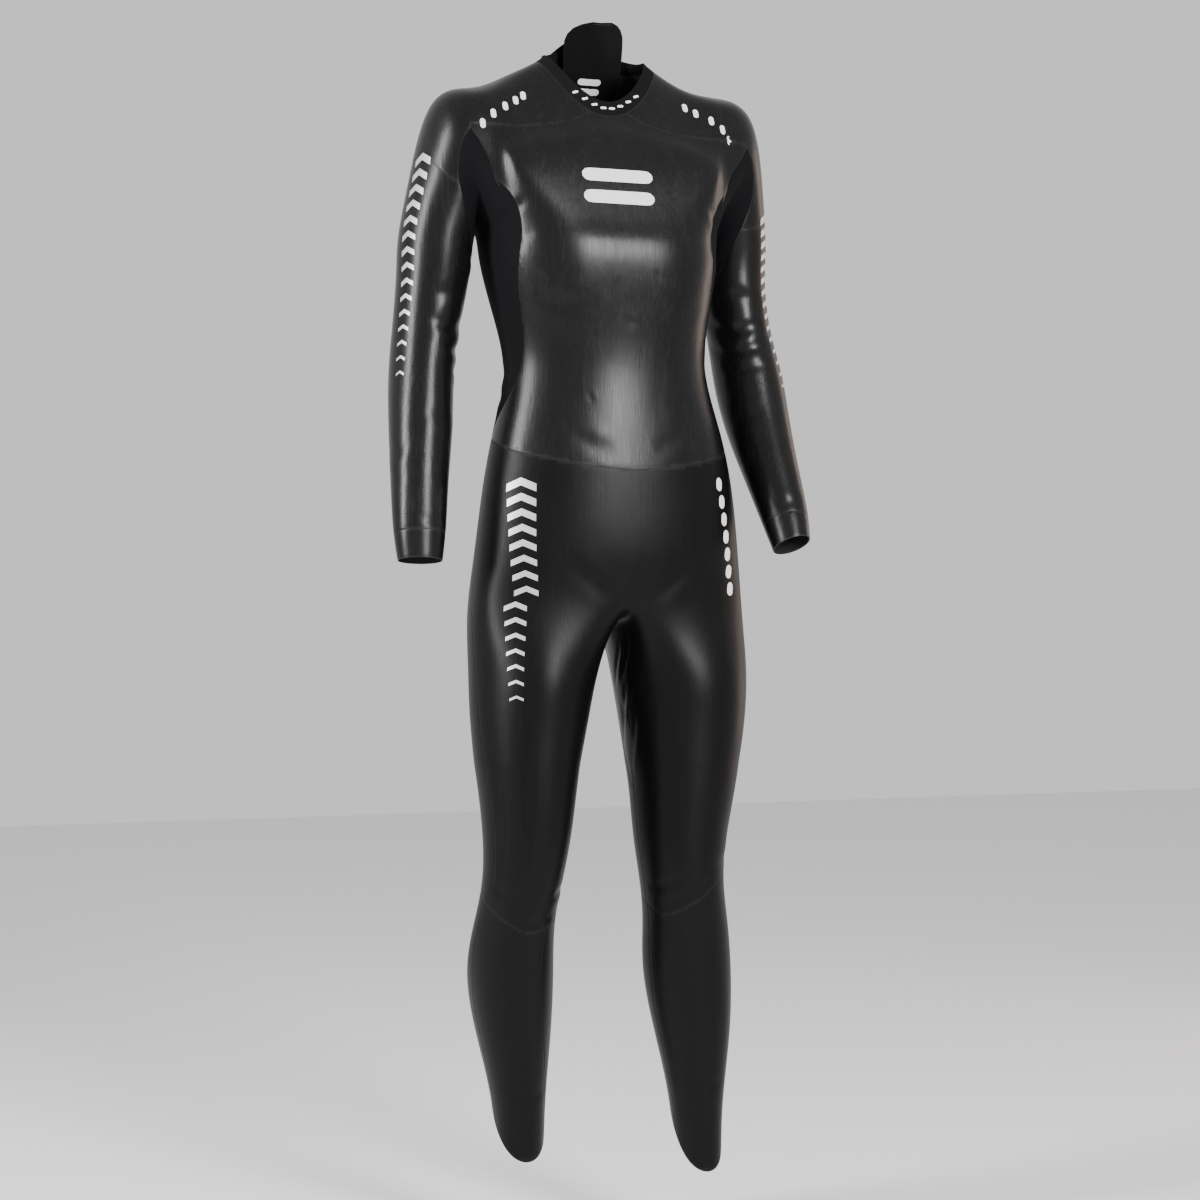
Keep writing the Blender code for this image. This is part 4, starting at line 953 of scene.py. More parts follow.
def neoprene(name, skin_colour, gloss, scuffs, reflects):
    """Smooth-skin rubber, with the knitted lining where the attribute lining is 1, and a paler
    cut edge where the attribute edge is 1."""
    material, shader, place = new_material(name)
    shader.inputs["Specular IOR Level"].default_value = reflects
    lining = place.node("Attribute", {"attribute_name": "lining"}, {}, output="Fac")
    edge = place.node("Attribute", {"attribute_name": "edge"}, {}, output="Fac")
    cloud = place.noise(5.0, detail=4)
    fine = place.noise(420.0, (1, 1, 0.035), detail=2)
    broad = place.noise(75.0, (1, 1, 0.10), detail=3)
    grain = place.noise(1500.0, detail=1)
    dents = place.noise(34.0, detail=2)
    streaks = fine * 0.6 + broad * 0.4
    worn = place.node("ValToRGB", {"stops": ((0.52, 0.0), (0.78, 1.0))}, {"Fac": streaks})
    pale = tuple(min(c * 2.4 + 0.008, 1) for c in skin_colour)
    colour = place.mix(worn * scuffs, (*skin_colour, 1), (*pale, 1))
    colour = place.mix(edge * 0.2, colour, (0.035, 0.035, 0.037, 1))
    colour = place.mix(lining, colour, (0.016, 0.016, 0.018, 1))
    knit = place.noise(900.0, (1, 1, 0.6), detail=0)
    sheen = gloss + (cloud - 0.5) * 0.12 + (streaks - 0.5) * (0.16 + 0.1 * scuffs) + edge * 0.10
    roughness = sheen * (1 - lining) + 0.9 * lining
    relief = (streaks * 0.35 + grain * 0.15 + dents * 0.5) * (1 - lining) + knit * lining
    finish_material(shader, place, colour, roughness, relief, 0.00045)
    return material


BODY_RUBBER = neoprene("smooth_skin_rubber", (0.0034, 0.0034, 0.0038), 0.29, 0.40, 0.20)
LEG_RUBBER = neoprene("smooth_skin_rubber_legs", (0.0024, 0.0024, 0.0027), 0.38, 0.10, 0.11)


def mesh_of(name, points, corners, sizes):
    """A mesh from its points, its faces' corners in one row, and each face's number of them."""
    mesh = bpy.data.meshes.new(name)
    mesh.vertices.add(len(points))
    mesh.vertices.foreach_set("co", np.asarray(points, np.float32).ravel())
    mesh.loops.add(len(corners))
    mesh.loops.foreach_set("vertex_index", np.asarray(corners, np.int32))
    mesh.polygons.add(len(sizes))
    mesh.polygons.foreach_set("loop_start", (np.cumsum(sizes) - sizes).astype(np.int32))
    mesh.update(calc_edges=True)
    mesh.validate()
    return mesh


def add_piece(name, mesh, material):
    """A finished piece of the suit: smooth-shaded, with its material, riding on the one body."""
    mesh.materials.clear()
    mesh.materials.append(material)
    mesh.shade_smooth()
    mesh.set_sharp_from_angle(angle=radians(50))
    piece = bpy.data.objects.new(name, mesh)
    bpy.context.scene.collection.objects.link(piece)
    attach(piece, "root")
    return piece


def add_attribute(mesh, name, values):
    """Gives every point a value that a material can read."""
    attribute = mesh.attributes.new(name, "FLOAT", "POINT")
    attribute.data.foreach_set("value", np.asarray(values, np.float32))


SEAM_DIP = 0.0002
SHARPEST = 0.4  # keeps the drawing-in at a panel's sharp corners within bounds


def shell_mesh(name, faces, wall):
    """A panel as a closed thin shell: its outer side on the skin and drawn in from the seams,
    its edge dipped a little, and its inner side a wall's thickness in."""
    one, other, face = skin.edges()
    chosen = faces[face]
    one, other, face = one[chosen], other[chosen], face[chosen]
    count = len(skin.points)
    rim = ~np.isin(other * count + one, one * count + other)
    a, b, rim_face = one[rim], other[rim], face[rim]
    along = skin.points[b] - skin.points[a]
    inward = np.cross(skin.face_normals()[rim_face], along)
    inward /= np.maximum(np.linalg.norm(inward, axis=1), 1e-12)[:, None]
    leaving, coming = np.zeros((count, 3)), np.zeros((count, 3))
    leaving[a] = inward
    coming[b] = inward
    both = np.maximum(1 + (leaving * coming).sum(1), SHARPEST)[:, None]
    on_rim = np.zeros(count)
    on_rim[a] = on_rim[b] = 1
    outer = skin.points + (leaving + coming) * (SEAM_GAP / 2) / both
    inner = outer - skin_normals * wall
    outer = outer - skin_normals * (SEAM_DIP * on_rim)[:, None]
    used = np.unique(one)
    index = np.zeros(count, int)
    index[used] = np.arange(len(used))
    n = len(used)
    order = np.arange(len(one))
    sizes = skin.sizes[faces]
    ends = np.repeat(np.cumsum(sizes), sizes)
    starts = ends - np.repeat(sizes, sizes)
    backwards = one[starts + ends - 1 - order]
    a, b = index[a], index[b]
    rims = np.stack([b, a, a + n, b + n], axis=1)
    corners = np.concatenate([index[one], index[backwards] + n, rims.ravel()])
    sizes = np.concatenate([sizes, sizes, np.full(len(rims), 4)])
    mesh = mesh_of(name, np.concatenate([outer[used], inner[used]]), corners, sizes)
    add_attribute(mesh, "lining", np.repeat([0.0, 1.0], n))
    add_attribute(mesh, "edge", np.concatenate([on_rim[used], np.zeros(n)]))
    return mesh


def panel(name, wall, material, side=0):
    """A panel of the suit as its own piece, in place of its solid."""
    faces = skin.panels == PANELS.index(name)
    if side:
        centres = skin.centres()
        on_arm = skin.limbs == LIMB_NAMES.index("arm")
        lean = np.where(on_arm, 0, smooth(centres[:, 2] + SHOULDER_LEVEL, LEAN))
        faces &= side * (centres[:, 0] - lean) > 0
    node = name + {0: "", 1: "_L", -1: "_R"}[side]
    piece = add_piece(node + "_cloth", shell_mesh(node, faces, wall), material)
    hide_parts(node)


# ------------------------------------------------------------------ chest and back
# The chest panel runs from the yoke to the waist, and is the thickest sheet of the suit. The
# back panel is in one piece, parted for the zip. Both are smooth-skin outside.

CHEST_WALL, BODY_WALL = 0.0035, 0.0030
panel("front_panel", CHEST_WALL, BODY_RUBBER)
panel("back_panel", BODY_WALL, BODY_RUBBER)

# ------------------------------------------------------------------ side panels
# A stretch panel at each side runs from the waist up under the arm. It is thin foam with a
# matt knitted jersey on both sides, glued and blind-stitched to its neighbours.


def jersey(name, thread, roughness, pitch):
    """Fine plain knit: rows of loops, a pitch apart in metres. Its colour holds painted light: the
    loops' crowns, where the bump stands highest, are painted paler as a painted highlight and the
    hollows between rows darker as painted shade, with random tone from the fuzz.
    """
    material, shader, place = new_material(name)
    shader.inputs["Specular IOR Level"].default_value = 0.10
    rows = place.node("SeparateXYZ", {}, {"Vector": place}, output="Z")
    waves = place.node("Math", {"operation": "SINE"}, {0: rows * (2 * pi / pitch)})
    fuzz = place.noise(1.1 / pitch, detail=2)
    soft = place.noise(9.0, detail=3)
    loops = waves * 0.25 + fuzz
    # Painted light and tone: pale is the painted highlight of the loops' crowns. The mask below
    # mixes it in where the knit's relief is high, so the hollows between rows stay dark as painted
    # shade, and the fuzz adds random tone.
    pale = tuple(c * 2.0 + 0.001 for c in thread)
    shade = place.node("ValToRGB", {"stops": ((0.45, 0.0), (1.0, 1.0))}, {"Fac": loops})
    colour = place.mix(shade * 0.6, (*thread, 1), (*pale, 1))
    finish_material(shader, place, colour, roughness + (soft - 0.5) * 0.1, loops, 0.0003)
    return material


SIDE_JERSEY = jersey("side_jersey", (0.0020, 0.0020, 0.0027), 0.88, 0.0011)
THIN_WALL = 0.0022
for side, flat, area in ((1, (0.16, 0.52), 0.055), (-1, (0.15, 0.52), 0.050)):
    panel("side_panel", THIN_WALL, SIDE_JERSEY, side)

# ------------------------------------------------------------------ shoulders and sleeves
# Each yoke is thin smooth-skin and laps the shoulder from the neck to the upper arm, where the
# sleeve takes over. A thinner cuff with a cut edge is glued to the sleeve's end.

CUFF_WALL = 0.0018
for name, wall, side, flat, area in (
    ("yoke", THIN_WALL, 1, (0.30, 0.30), 0.063),
    ("yoke", THIN_WALL, -1, (0.28, 0.28), 0.053),
    ("sleeve", THIN_WALL, 1, (0.29, 0.43), 0.100),
    ("sleeve", THIN_WALL, -1, (0.30, 0.47), 0.112),
    ("cuff", CUFF_WALL, 1, (0.17, 0.037), 0.0060),
    ("cuff", CUFF_WALL, -1, (0.17, 0.037), 0.0060),
):
    panel(name, wall, BODY_RUBBER, side)

# ------------------------------------------------------------------ legs
# The front and the back of the trousers meet along the outer legs. A soft gusset runs over the
# fork and down both inner thighs, and below the knees each leg has a shin and a calf panel.

panel("pants_front", BODY_WALL, LEG_RUBBER)
panel("pants_back", BODY_WALL, LEG_RUBBER)
panel("crotch_gusset", THIN_WALL, BODY_RUBBER)
for name, side, flat, area in (
    ("shin", 1, (0.15, 0.37), 0.039),
    ("shin", -1, (0.125, 0.34), 0.0296),
    ("calf", 1, (0.21, 0.35), 0.056),
    ("calf", -1, (0.22, 0.35), 0.0606),
):
    panel(name, BODY_WALL, LEG_RUBBER, side)

# ------------------------------------------------------------------ collar and its tab
# The collar is a low band of thin foam with jersey on both sides, open at the centre back. Its
# closing tab is a second layer, glued to one end and pressed on round the outside of the back.

COLLAR_JERSEY = jersey("collar_jersey", (0.0030, 0.0029, 0.0033), 0.86, 0.0010)
TAB_WALL = 0.0018
TAB_RIGHT, TAB_LEFT = -0.048, 0.040
TAB_ROWS = (0.25, 0.42, 0.60, 0.78, 0.95)  # up the collar, from its foot to its edge
TAB_FOOT, TAB_EDGE = 1.508, 1.533  # heights drafted at the centre back
FOOT_DROP, EDGE_DROP = 0.005, 0.020  # how much lower each would be at the collar's side
TAB_RISE, TAB_CROWN = 0.003, 0.015  # how far it stands past the collar, and how much more midway
COLLAR_HALF = 0.067


def grid_mesh(name, grid, wall):
    """A closed sheet from a grid of places on its outer side, with its normals to the outside."""
    columns, rows, _ = grid.shape
    across, up = np.gradient(grid, axis=0), np.gradient(grid, axis=1)
    normal = np.cross(across, up)
    normal /= np.linalg.norm(normal, axis=2)[:, :, None]
    n = columns * rows
    points = np.concatenate([grid.reshape(n, 3), (grid - normal * wall).reshape(n, 3)])
    index = np.arange(n).reshape(columns, rows)
    a, b, c, d = index[:-1, :-1], index[1:, :-1], index[1:, 1:], index[:-1, 1:]
    outer = np.stack([a, b, c, d], axis=2).reshape(-1, 4)
    edge = [*index[:, 0], *index[-1, 1:], *index[-2::-1, -1], *index[0, -2:0:-1]]
    following = edge[1:] + edge[:1]
    rims = np.array([(b, a, a + n, b + n) for a, b in zip(edge, following)])
    corners = np.concatenate([outer, outer[:, ::-1] + n, rims]).ravel()
    return mesh_of(name, points, corners, np.full(len(corners) // 4, 4))


def tab_grid():
    """The tab's outer side, drafted on the collar's back and carried on past the collar's edge."""
    columns = []
    middle, half = (TAB_LEFT + TAB_RIGHT) / 2, (TAB_LEFT - TAB_RIGHT) / 2
    for x in np.linspace(TAB_LEFT, TAB_RIGHT, 41):
        angle = 180 - np.degrees(np.arcsin(abs(x) / COLLAR_HALF))
        sideways = (x / COLLAR_HALF) ** 2
        foot, edge = TAB_FOOT - FOOT_DROP * sideways, TAB_EDGE - EDGE_DROP * sideways
        column = []
        for share in TAB_ROWS:
            height = foot + (edge - foot) * share
            place, normal = on_skin(draft, "collar", 1 if x > 0 else -1, angle, height)
            column.append(np.array(place + normal * (2 * SEAM_GAP + TAB_WALL)))
        rise = TAB_RISE + TAB_CROWN * cos(pi / 2 * (x - middle) / half)
        for share in np.linspace(0, 1, 8)[1:]:
            column.append(column[len(TAB_ROWS) - 1] + (0, 0, rise * share))
        columns.append(column)
    grid = np.array(columns)
    return stand(grid.reshape(-1, 3)).reshape(grid.shape)


panel("collar", THIN_WALL, COLLAR_JERSEY)
tab_mesh = grid_mesh("collar_tab", tab_grid(), TAB_WALL)
tab = add_piece("collar_tab_cloth", tab_mesh, COLLAR_JERSEY)
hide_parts("collar_tab")

# ------------------------------------------------------------------ zip
# A moulded chain closes the back from above the waist to the collar: a narrow tape at either
# side with interlocked teeth along its edge. The slider stays at the top, as CAD made it.

material, shader, place = new_material("zip_plastic")
shader.inputs["Specular IOR Level"].default_value = 0.4
haze = place.noise(260.0, detail=2)
finish_material(
    shader, place, place.mix(haze * 0.5, (0.010, 0.010, 0.011, 1), (0.024, 0.024, 0.025, 1)),
    0.38 + haze * 0.2, haze, 0.0001,
)
ZIP_PLASTIC = material
for name in ("zip_half_L", "zip_half_R", "zip_slider"):
    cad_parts[name].data.materials.clear()
    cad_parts[name].data.materials.append(ZIP_PLASTIC)

TOOTH_SIZE = (0.0030, 0.0016, 0.0017)  # across the chain, out of it and along it
TOOTH_PITCH = 0.0030
CHAIN_FOOT, CHAIN_TOP = ZIP_BOTTOM + 0.004, ZIP_TOP - 0.010
CHAIN_STEP = 0.002  # between the places that its line runs through
TOOTH_SHIFT, TOOTH_PROUD = 0.0011, 0.0004  # sideways from the middle, and out of the tape


def tooth_mesh():
    """One moulded tooth: a rounded block, in the chain's own directions."""
    block = bmesh.new()
    bmesh.ops.create_cube(block, size=1)
    bmesh.ops.scale(block, vec=TOOTH_SIZE, verts=block.verts)
    bmesh.ops.bevel(block, geom=block.edges[:], offset=0.00025, segments=1, affect="EDGES")
    mesh = bpy.data.meshes.new("tooth")
    block.to_mesh(mesh)
    block.free()
    mesh.shade_smooth()
    return mesh


def repeat_along(name, line, part, pitch, outward, material):
    """A mesh of one part repeated along a line of places: its Z follows the line, and its Y
    points outward. Geometry Nodes place the parts."""
    curve = bpy.data.curves.new(name, "CURVE")
    curve.dimensions = "3D"
    spline = curve.splines.new("POLY")
    spline.points.add(len(line) - 1)
    for point, place in zip(spline.points, line):
        point.co = (*place, 1)
    path = bpy.data.objects.new(name + "_path", curve)
    bpy.context.scene.collection.objects.link(path)
    single = bpy.data.objects.new(name + "_single", part)
    bpy.context.scene.collection.objects.link(single)

    tree = bpy.data.node_groups.new(name, "GeometryNodeTree")
    sockets = {}
    for label, kind in (
        ("Path", "Geometry"), ("Part", "Object"), ("Pitch", "Float"), ("Outward", "Vector"),
        ("Material", "Material"),
    ):
        socket = tree.interface.new_socket(label, in_out="INPUT", socket_type="NodeSocket" + kind)
        sockets[label] = socket.identifier
    tree.interface.new_socket("Parts", in_out="OUTPUT", socket_type="NodeSocketGeometry")

    def node(kind, settings, inputs):
        made = tree.nodes.new(kind)
        for setting, value in settings.items():
            setattr(made, setting, value)
        for socket, source in inputs.items():
            if isinstance(source, bpy.types.NodeSocket):
                tree.links.new(source, made.inputs[socket])
            else:
                made.inputs[socket].default_value = source
        return made.outputs

    given = node("NodeGroupInput", {}, {})
    spaced = node(
        "GeometryNodeResampleCurve", {"mode": "LENGTH"},
        {"Curve": given["Path"], "Length": given["Pitch"]},
    )
    tangent = node("GeometryNodeInputTangent", {}, {})
    along = node("FunctionNodeAlignRotationToVector", {"axis": "Z"}, {"Vector": tangent[0]})
    turned = node(
        "FunctionNodeAlignRotationToVector", {"axis": "Y", "pivot_axis": "Z"},
        {"Rotation": along[0], "Vector": given["Outward"]},
    )
    source = node("GeometryNodeObjectInfo", {}, {"Object": given["Part"]})
    placed = node(
        "GeometryNodeInstanceOnPoints", {},
        {"Points": spaced[0], "Instance": source["Geometry"], "Rotation": turned[0]},
    )
    real = node("GeometryNodeRealizeInstances", {}, {"Geometry": placed[0]})
    coloured = node(
        "GeometryNodeSetMaterial", {}, {"Geometry": real[0], "Material": given["Material"]}
    )
    node("NodeGroupOutput", {}, {0: coloured[0]})

    modifier = path.modifiers.new(name, "NODES")
    modifier.node_group = tree
    modifier[sockets["Part"]] = single
    modifier[sockets["Pitch"]] = pitch
    modifier[sockets["Outward"]] = outward
    modifier[sockets["Material"]] = material
    ready = path.evaluated_get(bpy.context.evaluated_depsgraph_get())
    mesh = bpy.data.meshes.new_from_object(ready)
    bpy.data.objects.remove(path)
    bpy.data.objects.remove(single)
    return mesh


for name, shift, phase in (("L", TOOTH_SHIFT, 0.0), ("R", -TOOTH_SHIFT, 0.5)):
    line = []
    for height in np.arange(CHAIN_FOOT + phase * TOOTH_PITCH, CHAIN_TOP, CHAIN_STEP):
        hit, normal, *_ = draft.ray_cast(Vector((shift, 0, height)), Vector((0, 1, 0)))
        line.append(stand([hit + Vector((0, TOOTH_PROUD, 0))])[0])
    teeth = repeat_along("teeth_" + name, line, tooth_mesh(), TOOTH_PITCH, (0, 1, 0), ZIP_PLASTIC)
    add_piece("zip_teeth_" + name, teeth, ZIP_PLASTIC)

# ------------------------------------------------------------------ flap
# A sheet of jersey-faced foam keeps the zip off the neck. It is sewn to the inside of the back
# yoke and stands up past the collar, with one stitched line just inside its edge.

FLAP_WALL = 0.0020
# Height, how far it leans forward, how far it bows, and its right and left edges.
FLAP = (
    (1.439, 0.0001, 0.0000, -0.030, 0.048),
    (1.450, 0.0009, 0.0000, -0.030, 0.048),
    (1.466, 0.0050, 0.0015, -0.030, 0.048),
    (1.482, 0.0070, 0.0040, -0.030, 0.048),
    (1.500, 0.0095, 0.0065, -0.030, 0.048),
    (1.516, 0.0120, 0.0080, -0.030, 0.048),
    (1.530, 0.0142, 0.0090, -0.030, 0.048),
    (1.540, 0.0158, 0.0090, -0.030, 0.048),
    (1.549, 0.0172, 0.0080, -0.026, 0.048),
    (1.558, 0.0186, 0.0060, -0.017, 0.046),
    (1.565, 0.0196, 0.0040, -0.003, 0.042),
    (1.5686, 0.0202, 0.0020, 0.012, 0.036),
)
FLAP_JERSEY = jersey("flap_jersey", (0.0021, 0.0021, 0.0025), 0.88, 0.0011)


def flap_places(shares, heights):
    """Places on the flap's back, drafted: shares run from its right edge to its left one."""
    table = np.array(FLAP)
    forward, bow, right, left = (
        np.interp(heights, table[:, 0], table[:, column]) for column in range(1, 5)
    )
    places = []
    for share, height, *row in zip(shares, heights, forward, bow, right, left):
        x = row[2] + (row[3] - row[2]) * share
        seat_height = min(height, ZIP_TOP)
        hit, normal, *_ = draft.ray_cast(Vector((x, 0, seat_height)), Vector((0, 1, 0)))
        normal = normal if normal.y > 0 else -normal
        seat = hit - normal * (THIN_WALL + SEAM_GAP)
        places.append((x, seat.y - row[0] - row[1] * (2 * share - 1) ** 2, height))
    return stand(places)


FLAP_FOOT, FLAP_BEND, FLAP_TOP = 1.439, 1.54, 1.5686  # its edge rounds off from the bend up
rows = np.concatenate(
    [np.linspace(FLAP_FOOT, FLAP_BEND, 24), np.linspace(FLAP_BEND, FLAP_TOP, 14)[1:]]
)
shares = np.linspace(1, 0, 29)
grid = flap_places(np.repeat(shares, len(rows)), np.tile(rows, len(shares)))
grid = grid.reshape(len(shares), len(rows), 3)
flap = add_piece("zip_flap_cloth", grid_mesh("zip_flap", grid, FLAP_WALL), FLAP_JERSEY)
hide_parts("zip_flap")

material, shader, place = new_material("thread")
shader.inputs["Roughness"].default_value = 0.7
twist = place.noise(2400.0, detail=1)
finish_material(
    shader, place, place.mix(twist, (0.012, 0.012, 0.014, 1), (0.035, 0.035, 0.040, 1)),
    0.7 + twist * 0.1, twist, 0.0001,
)
THREAD = material


def stitch_mesh():
    """One stitch: a short rounded length of thread, along Z."""
    stitch = bmesh.new()
    bmesh.ops.create_uvsphere(stitch, u_segments=6, v_segments=4, radius=1)
    bmesh.ops.scale(stitch, vec=(0.00028, 0.00022, 0.0011), verts=stitch.verts)
    mesh = bpy.data.meshes.new("stitch")
    stitch.to_mesh(mesh)
    stitch.free()
    mesh.shade_smooth()
    return mesh


STITCH_PITCH, STITCH_PROUD = 0.0029, 0.0001
STITCHED_UP, STITCHED_OVER = (1.450, 1.563), 1.5655  # heights at the sides, and along the top
up, over = np.linspace(*STITCHED_UP, 60), np.linspace(0.07, 0.93, 24)
shares = np.concatenate([np.full(len(up), 0.04), over, np.full(len(up), 0.96)])
heights = np.concatenate([up, np.full(len(over), STITCHED_OVER), up[::-1]])
line = flap_places(shares, heights)
for face, offset in (("back", STITCH_PROUD), ("front", -FLAP_WALL - STITCH_PROUD)):
    places = [tuple(place + (0, offset, 0)) for place in line]
    thread = repeat_along(
        "flap_stitch_" + face, places, stitch_mesh(), STITCH_PITCH, (0, 1, 0), THREAD
    )
    add_piece("flap_stitches_" + face, thread, THREAD)

# ------------------------------------------------------------------ printed films
# Thin films are heat-pressed onto the outside: plain bars on the chest and the flap, columns of
# chevrons on the outer arms and a thigh, and short dashes on the shoulders, collar and hip.


def film_material(name, colour, metallic, roughness):
    """A thin printed film, a little worn."""
    material, shader, place = new_material(name)
    shader.inputs["Metallic"].default_value = metallic
    wear = place.noise(700.0, (1, 1, 0.3), detail=3)
    dark = tuple(c * 0.82 for c in colour)
    finish_material(
        shader, place, place.mix(wear, (*dark, 1), (*colour, 1)), roughness + (wear - 0.5) * 0.15,
        wear, 0.00008,
    )
    return material


FILM = 0.0005  # thick, and mostly sunk in
FILM_PROUD = 0.00022
WHITE_FILM = film_material("white_film", (0.74, 0.74, 0.73), 0.0, 0.50)
SILVER_FILM = film_material("silver_film", (0.52, 0.52, 0.51), 0.55, 0.42)


def film(name, limb, side, marks, material):
    """Films on one limb. A mark is an angle, a height, a half length and a half width in metres,
    how it is turned in degrees, and how far its ends drop for each metre out from its middle."""
    points, corners = [], []
    columns, rows = 15, 4
    for angle, height, long, wide, turn, drop in marks:
        centre, normal = on_skin(draft, limb, side, angle, height)
        along = Vector((0, 0, 1)).cross(normal).normalized()
        up = normal.cross(along)
        along, up = (
            along * cos(radians(turn)) + up * sin(radians(turn)),
            up * cos(radians(turn)) - along * sin(radians(turn)),
        )
        grid = np.zeros((columns, rows, 3))
        for i, s in enumerate(np.sin(np.linspace(-pi / 2, pi / 2, columns))):
            end = 1 - wide / long
            round_end = max((abs(s) - end) / (1 - end), 0)
            reach = wide * (1 - min(round_end, 0.97) ** 2) ** 0.5 if drop == 0 else wide
            for j, r in enumerate(np.linspace(-1, 1, rows)):
                aim = centre + along * (s * long) + up * (r * reach - drop * abs(s) * long)
                hit, where, *_ = draft.ray_cast(aim + normal * 0.04, -normal)
                where = where if where.dot(normal) > 0 else -where
                grid[i, j] = hit + where * FILM_PROUD
        stood = stand(grid.reshape(-1, 3), limb == "arm").reshape(grid.shape)
        mesh = grid_mesh(name, stood, FILM)
        start = sum(len(part) for part in points)
        points.append(read(mesh.vertices, "co", np.float64, 3))
        corners.append(read(mesh.loops, "vertex_index", np.int64) + start)
        bpy.data.meshes.remove(mesh)
    corners = np.concatenate(corners)
    mesh = mesh_of(name, np.concatenate(points), corners, np.full(len(corners) // 4, 4))
    return add_piece(name, mesh, material)


def column(count, angles, heights, long, wide, turn, drop):
    """A column of marks: each pair of values goes evenly from the first mark to the last."""
    pairs = (angles, heights, long, wide, (turn, turn), (drop, drop))
    return list(zip(*(np.linspace(*pair, count) for pair in pairs)))


chest = column(2, (3, 3), (1.3475, 1.3195), (0.046, 0.046), (0.0085, 0.0085), 0, 0)
film("chest_bars", "trunk", -1, chest, WHITE_FILM)
hip = column(8, (67, 63), (0.970, 0.838), (0.0200, 0.0151), (0.0048, 0.0034), 0, 0.40)
film("hip_chevrons", "trunk", -1, hip, SILVER_FILM)
thigh = column(7, (38, 30.2), (0.819, 0.706), (0.0145, 0.0091), (0.0032, 0.00152), 0, 0.40)
film("thigh_chevrons", "leg", -1, thigh, SILVER_FILM)
hip = column(7, (62, 68), (0.970, 0.838), (0.0085, 0.0085), (0.0060, 0.0060), 84, 0)
film("hip_dashes", "trunk", 1, hip, WHITE_FILM)
for side, tag, angles, top in ((-1, "R", (66, 52), 1.372), (1, "L", (44, 44), 1.322)):
    arm = column(15, angles, (top, 1.105), (0.0155, 0.0071), (0.0046, 0.00152), 0, 0.50)
    film("sleeve_chevrons_" + tag, "arm", side, arm, SILVER_FILM)
for side, tag in ((-1, "R"), (1, "L")):
    marks = [(74, height, 0.0065, 0.0034, 90, 0) for height in (1.450, 1.443, 1.434, 1.423, 1.409)]
    film("shoulder_dashes_" + tag, "trunk", side, marks, WHITE_FILM)
for side, tag in ((-1, "R"), (1, "L")):
    marks = []
    for angle in (6, 18, 30, 41):
        height = 1.4395 + 0.0450 * sin(radians(angle)) ** 2
        marks.append((angle, height, 0.0040, 0.0016, 0.5 * angle, 0))
    film("collar_dashes_" + tag, "collar", side, marks, WHITE_FILM)

BAR_MIDDLE, BAR_HALF, BAR_TIP = 0.52, 0.20, 0.05  # shares of the flap's width
BAR_WIDE, BAR_PROUD = 0.0036, 0.0002
for name, height in (("flap_bar_upper", 1.4945), ("flap_bar_lower", 1.4835)):
    shares = BAR_MIDDLE + BAR_HALF * np.sin(np.linspace(-pi / 2, pi / 2, 13))
    tip = (abs(shares - BAR_MIDDLE) - (BAR_HALF - BAR_TIP)) / BAR_TIP
    reach = BAR_WIDE * np.sqrt(1 - np.clip(tip, 0, 0.97) ** 2)
    rows = height + reach[:, None] * np.linspace(-1, 1, 4)
    grid = flap_places(np.repeat(shares, 4), rows.ravel()).reshape(13, 4, 3)
    outward = np.cross(np.gradient(grid, axis=0), np.gradient(grid, axis=1))
    outward /= np.linalg.norm(outward, axis=2)[:, :, None]
    grid += outward * (FLAP_WALL + BAR_PROUD)
    add_piece(name, grid_mesh(name, grid, FILM), WHITE_FILM)

# ------------------------------------------------------------------ studio
# A plain pale floor where the figure's soles would be, soft boxes at both sides of the camera, a
# weak warm one behind, and the camera a little to the wearer's right, level with the thighs.

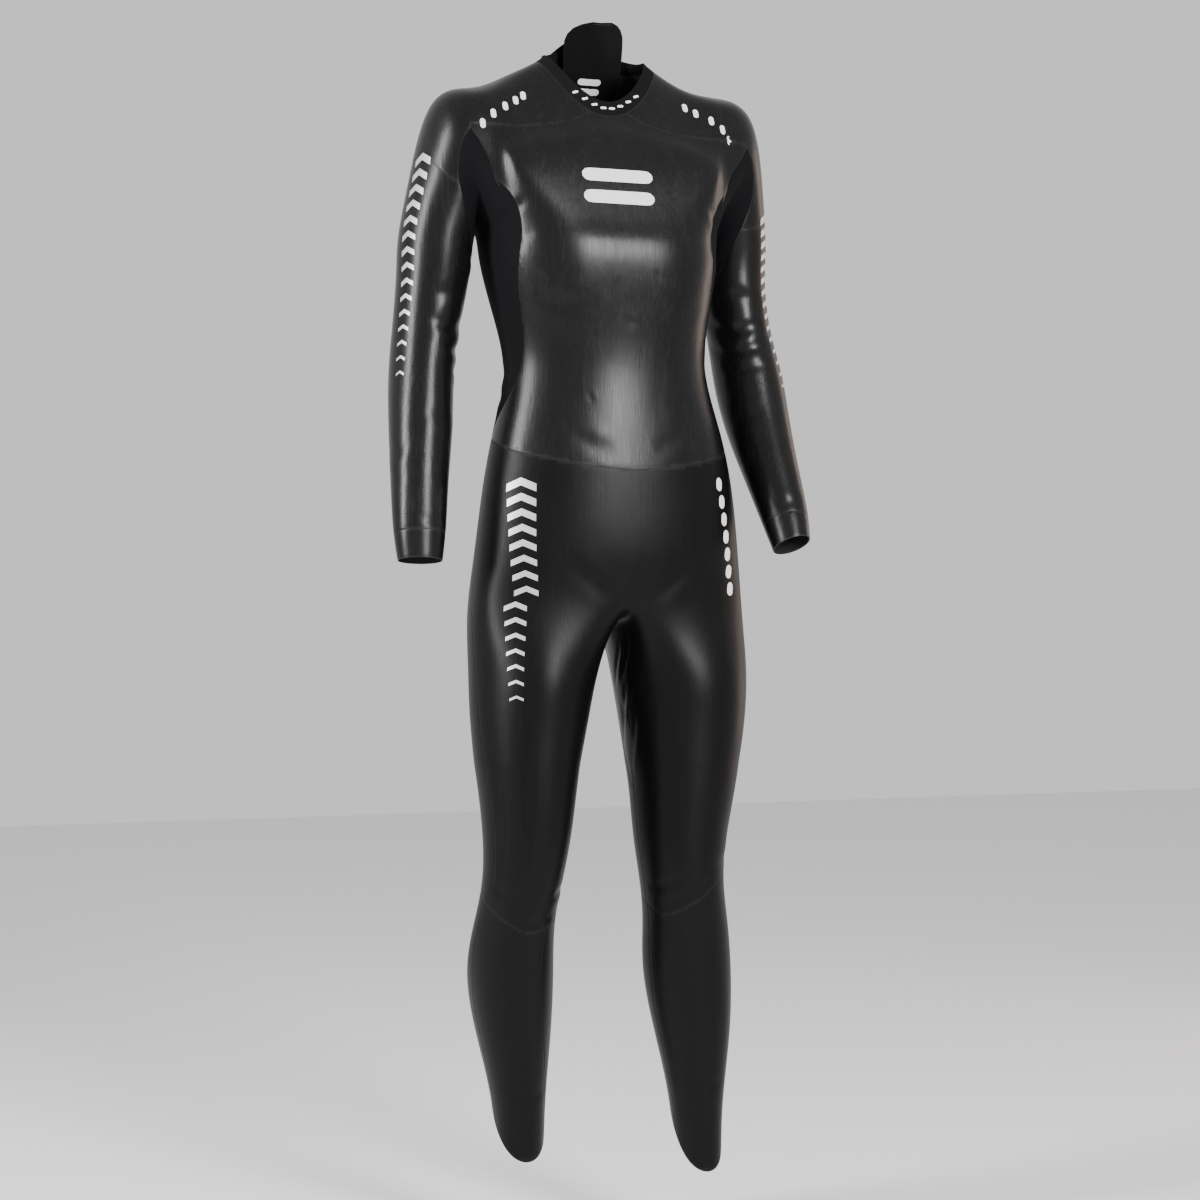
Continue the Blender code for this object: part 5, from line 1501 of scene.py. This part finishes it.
FLOOR_REACH = 6
floor_mesh = bpy.data.meshes.new("floor")
ends = ((-1, -1), (1, -1), (1, 1), (-1, 1))
floor_corners = [(x * FLOOR_REACH, y * FLOOR_REACH, -SHOULDER_LEVEL) for x, y in ends]
floor_mesh.from_pydata(floor_corners, [], [(0, 1, 2, 3)])
floor = bpy.data.objects.new("floor", floor_mesh)
bpy.context.scene.collection.objects.link(floor)
floor_material = bpy.data.materials.new("floor")
floor_material.use_nodes = True
floor_shader = floor_material.node_tree.nodes["Principled BSDF"]
floor_shader.inputs["Base Color"].default_value = (0.80, 0.80, 0.80, 1)
floor_shader.inputs["Roughness"].default_value = 0.9
floor_mesh.materials.append(floor_material)

world = bpy.data.worlds.new("studio")
bpy.context.scene.world = world
world.use_nodes = True
world.node_tree.nodes["Background"].inputs["Color"].default_value = (0.92, 0.92, 0.92, 1)
world.node_tree.nodes["Background"].inputs["Strength"].default_value = 0.9

CAMERA_TURN = radians(20)
AIM = Vector((0, 0, -0.626))
CAMERA_DISTANCE, SEEN = 3.0, 1.524  # the width seen is at the aim
SENSOR = 36


def around(azimuth, distance, height):
    """A place round the suit, at an azimuth in degrees from the camera, positive to its right."""
    turn = radians(azimuth) - CAMERA_TURN
    return Vector((sin(turn) * distance, -cos(turn) * distance, height))


def soft_box(name, place, aim, size, power, colour=(1, 1, 1)):
    """A rectangular light at a place, turned to its aim."""
    light = bpy.data.lights.new(name, "AREA")
    light.shape = "RECTANGLE"
    light.size, light.size_y = size
    light.energy = power
    light.color = colour
    lamp = bpy.data.objects.new(name, light)
    bpy.context.scene.collection.objects.link(lamp)
    lamp.location = place
    lamp.rotation_euler = (Vector(aim) - place).to_track_quat("-Z", "Y").to_euler()


soft_box("left box", around(-62, 2.4, 0.30), (0, 0, -0.15), (0.45, 1.5), 105)
soft_box("right box", around(34, 2.6, 0.40), (0, 0, -0.10), (0.7, 1.4), 120)
soft_box("warm rim", around(128, 2.4, -0.3), (0, 0, -0.5), (0.5, 1.6), 8, (1.0, 0.70, 0.55))

camera_data = bpy.data.cameras.new("camera")
camera_data.sensor_width = SENSOR
camera_data.lens = SENSOR * CAMERA_DISTANCE / SEEN
camera = bpy.data.objects.new("camera", camera_data)
bpy.context.scene.collection.objects.link(camera)
camera.location = around(0, CAMERA_DISTANCE, AIM.z)
camera.rotation_euler = (AIM - camera.location).to_track_quat("-Z", "Y").to_euler()
bpy.context.scene.camera = camera
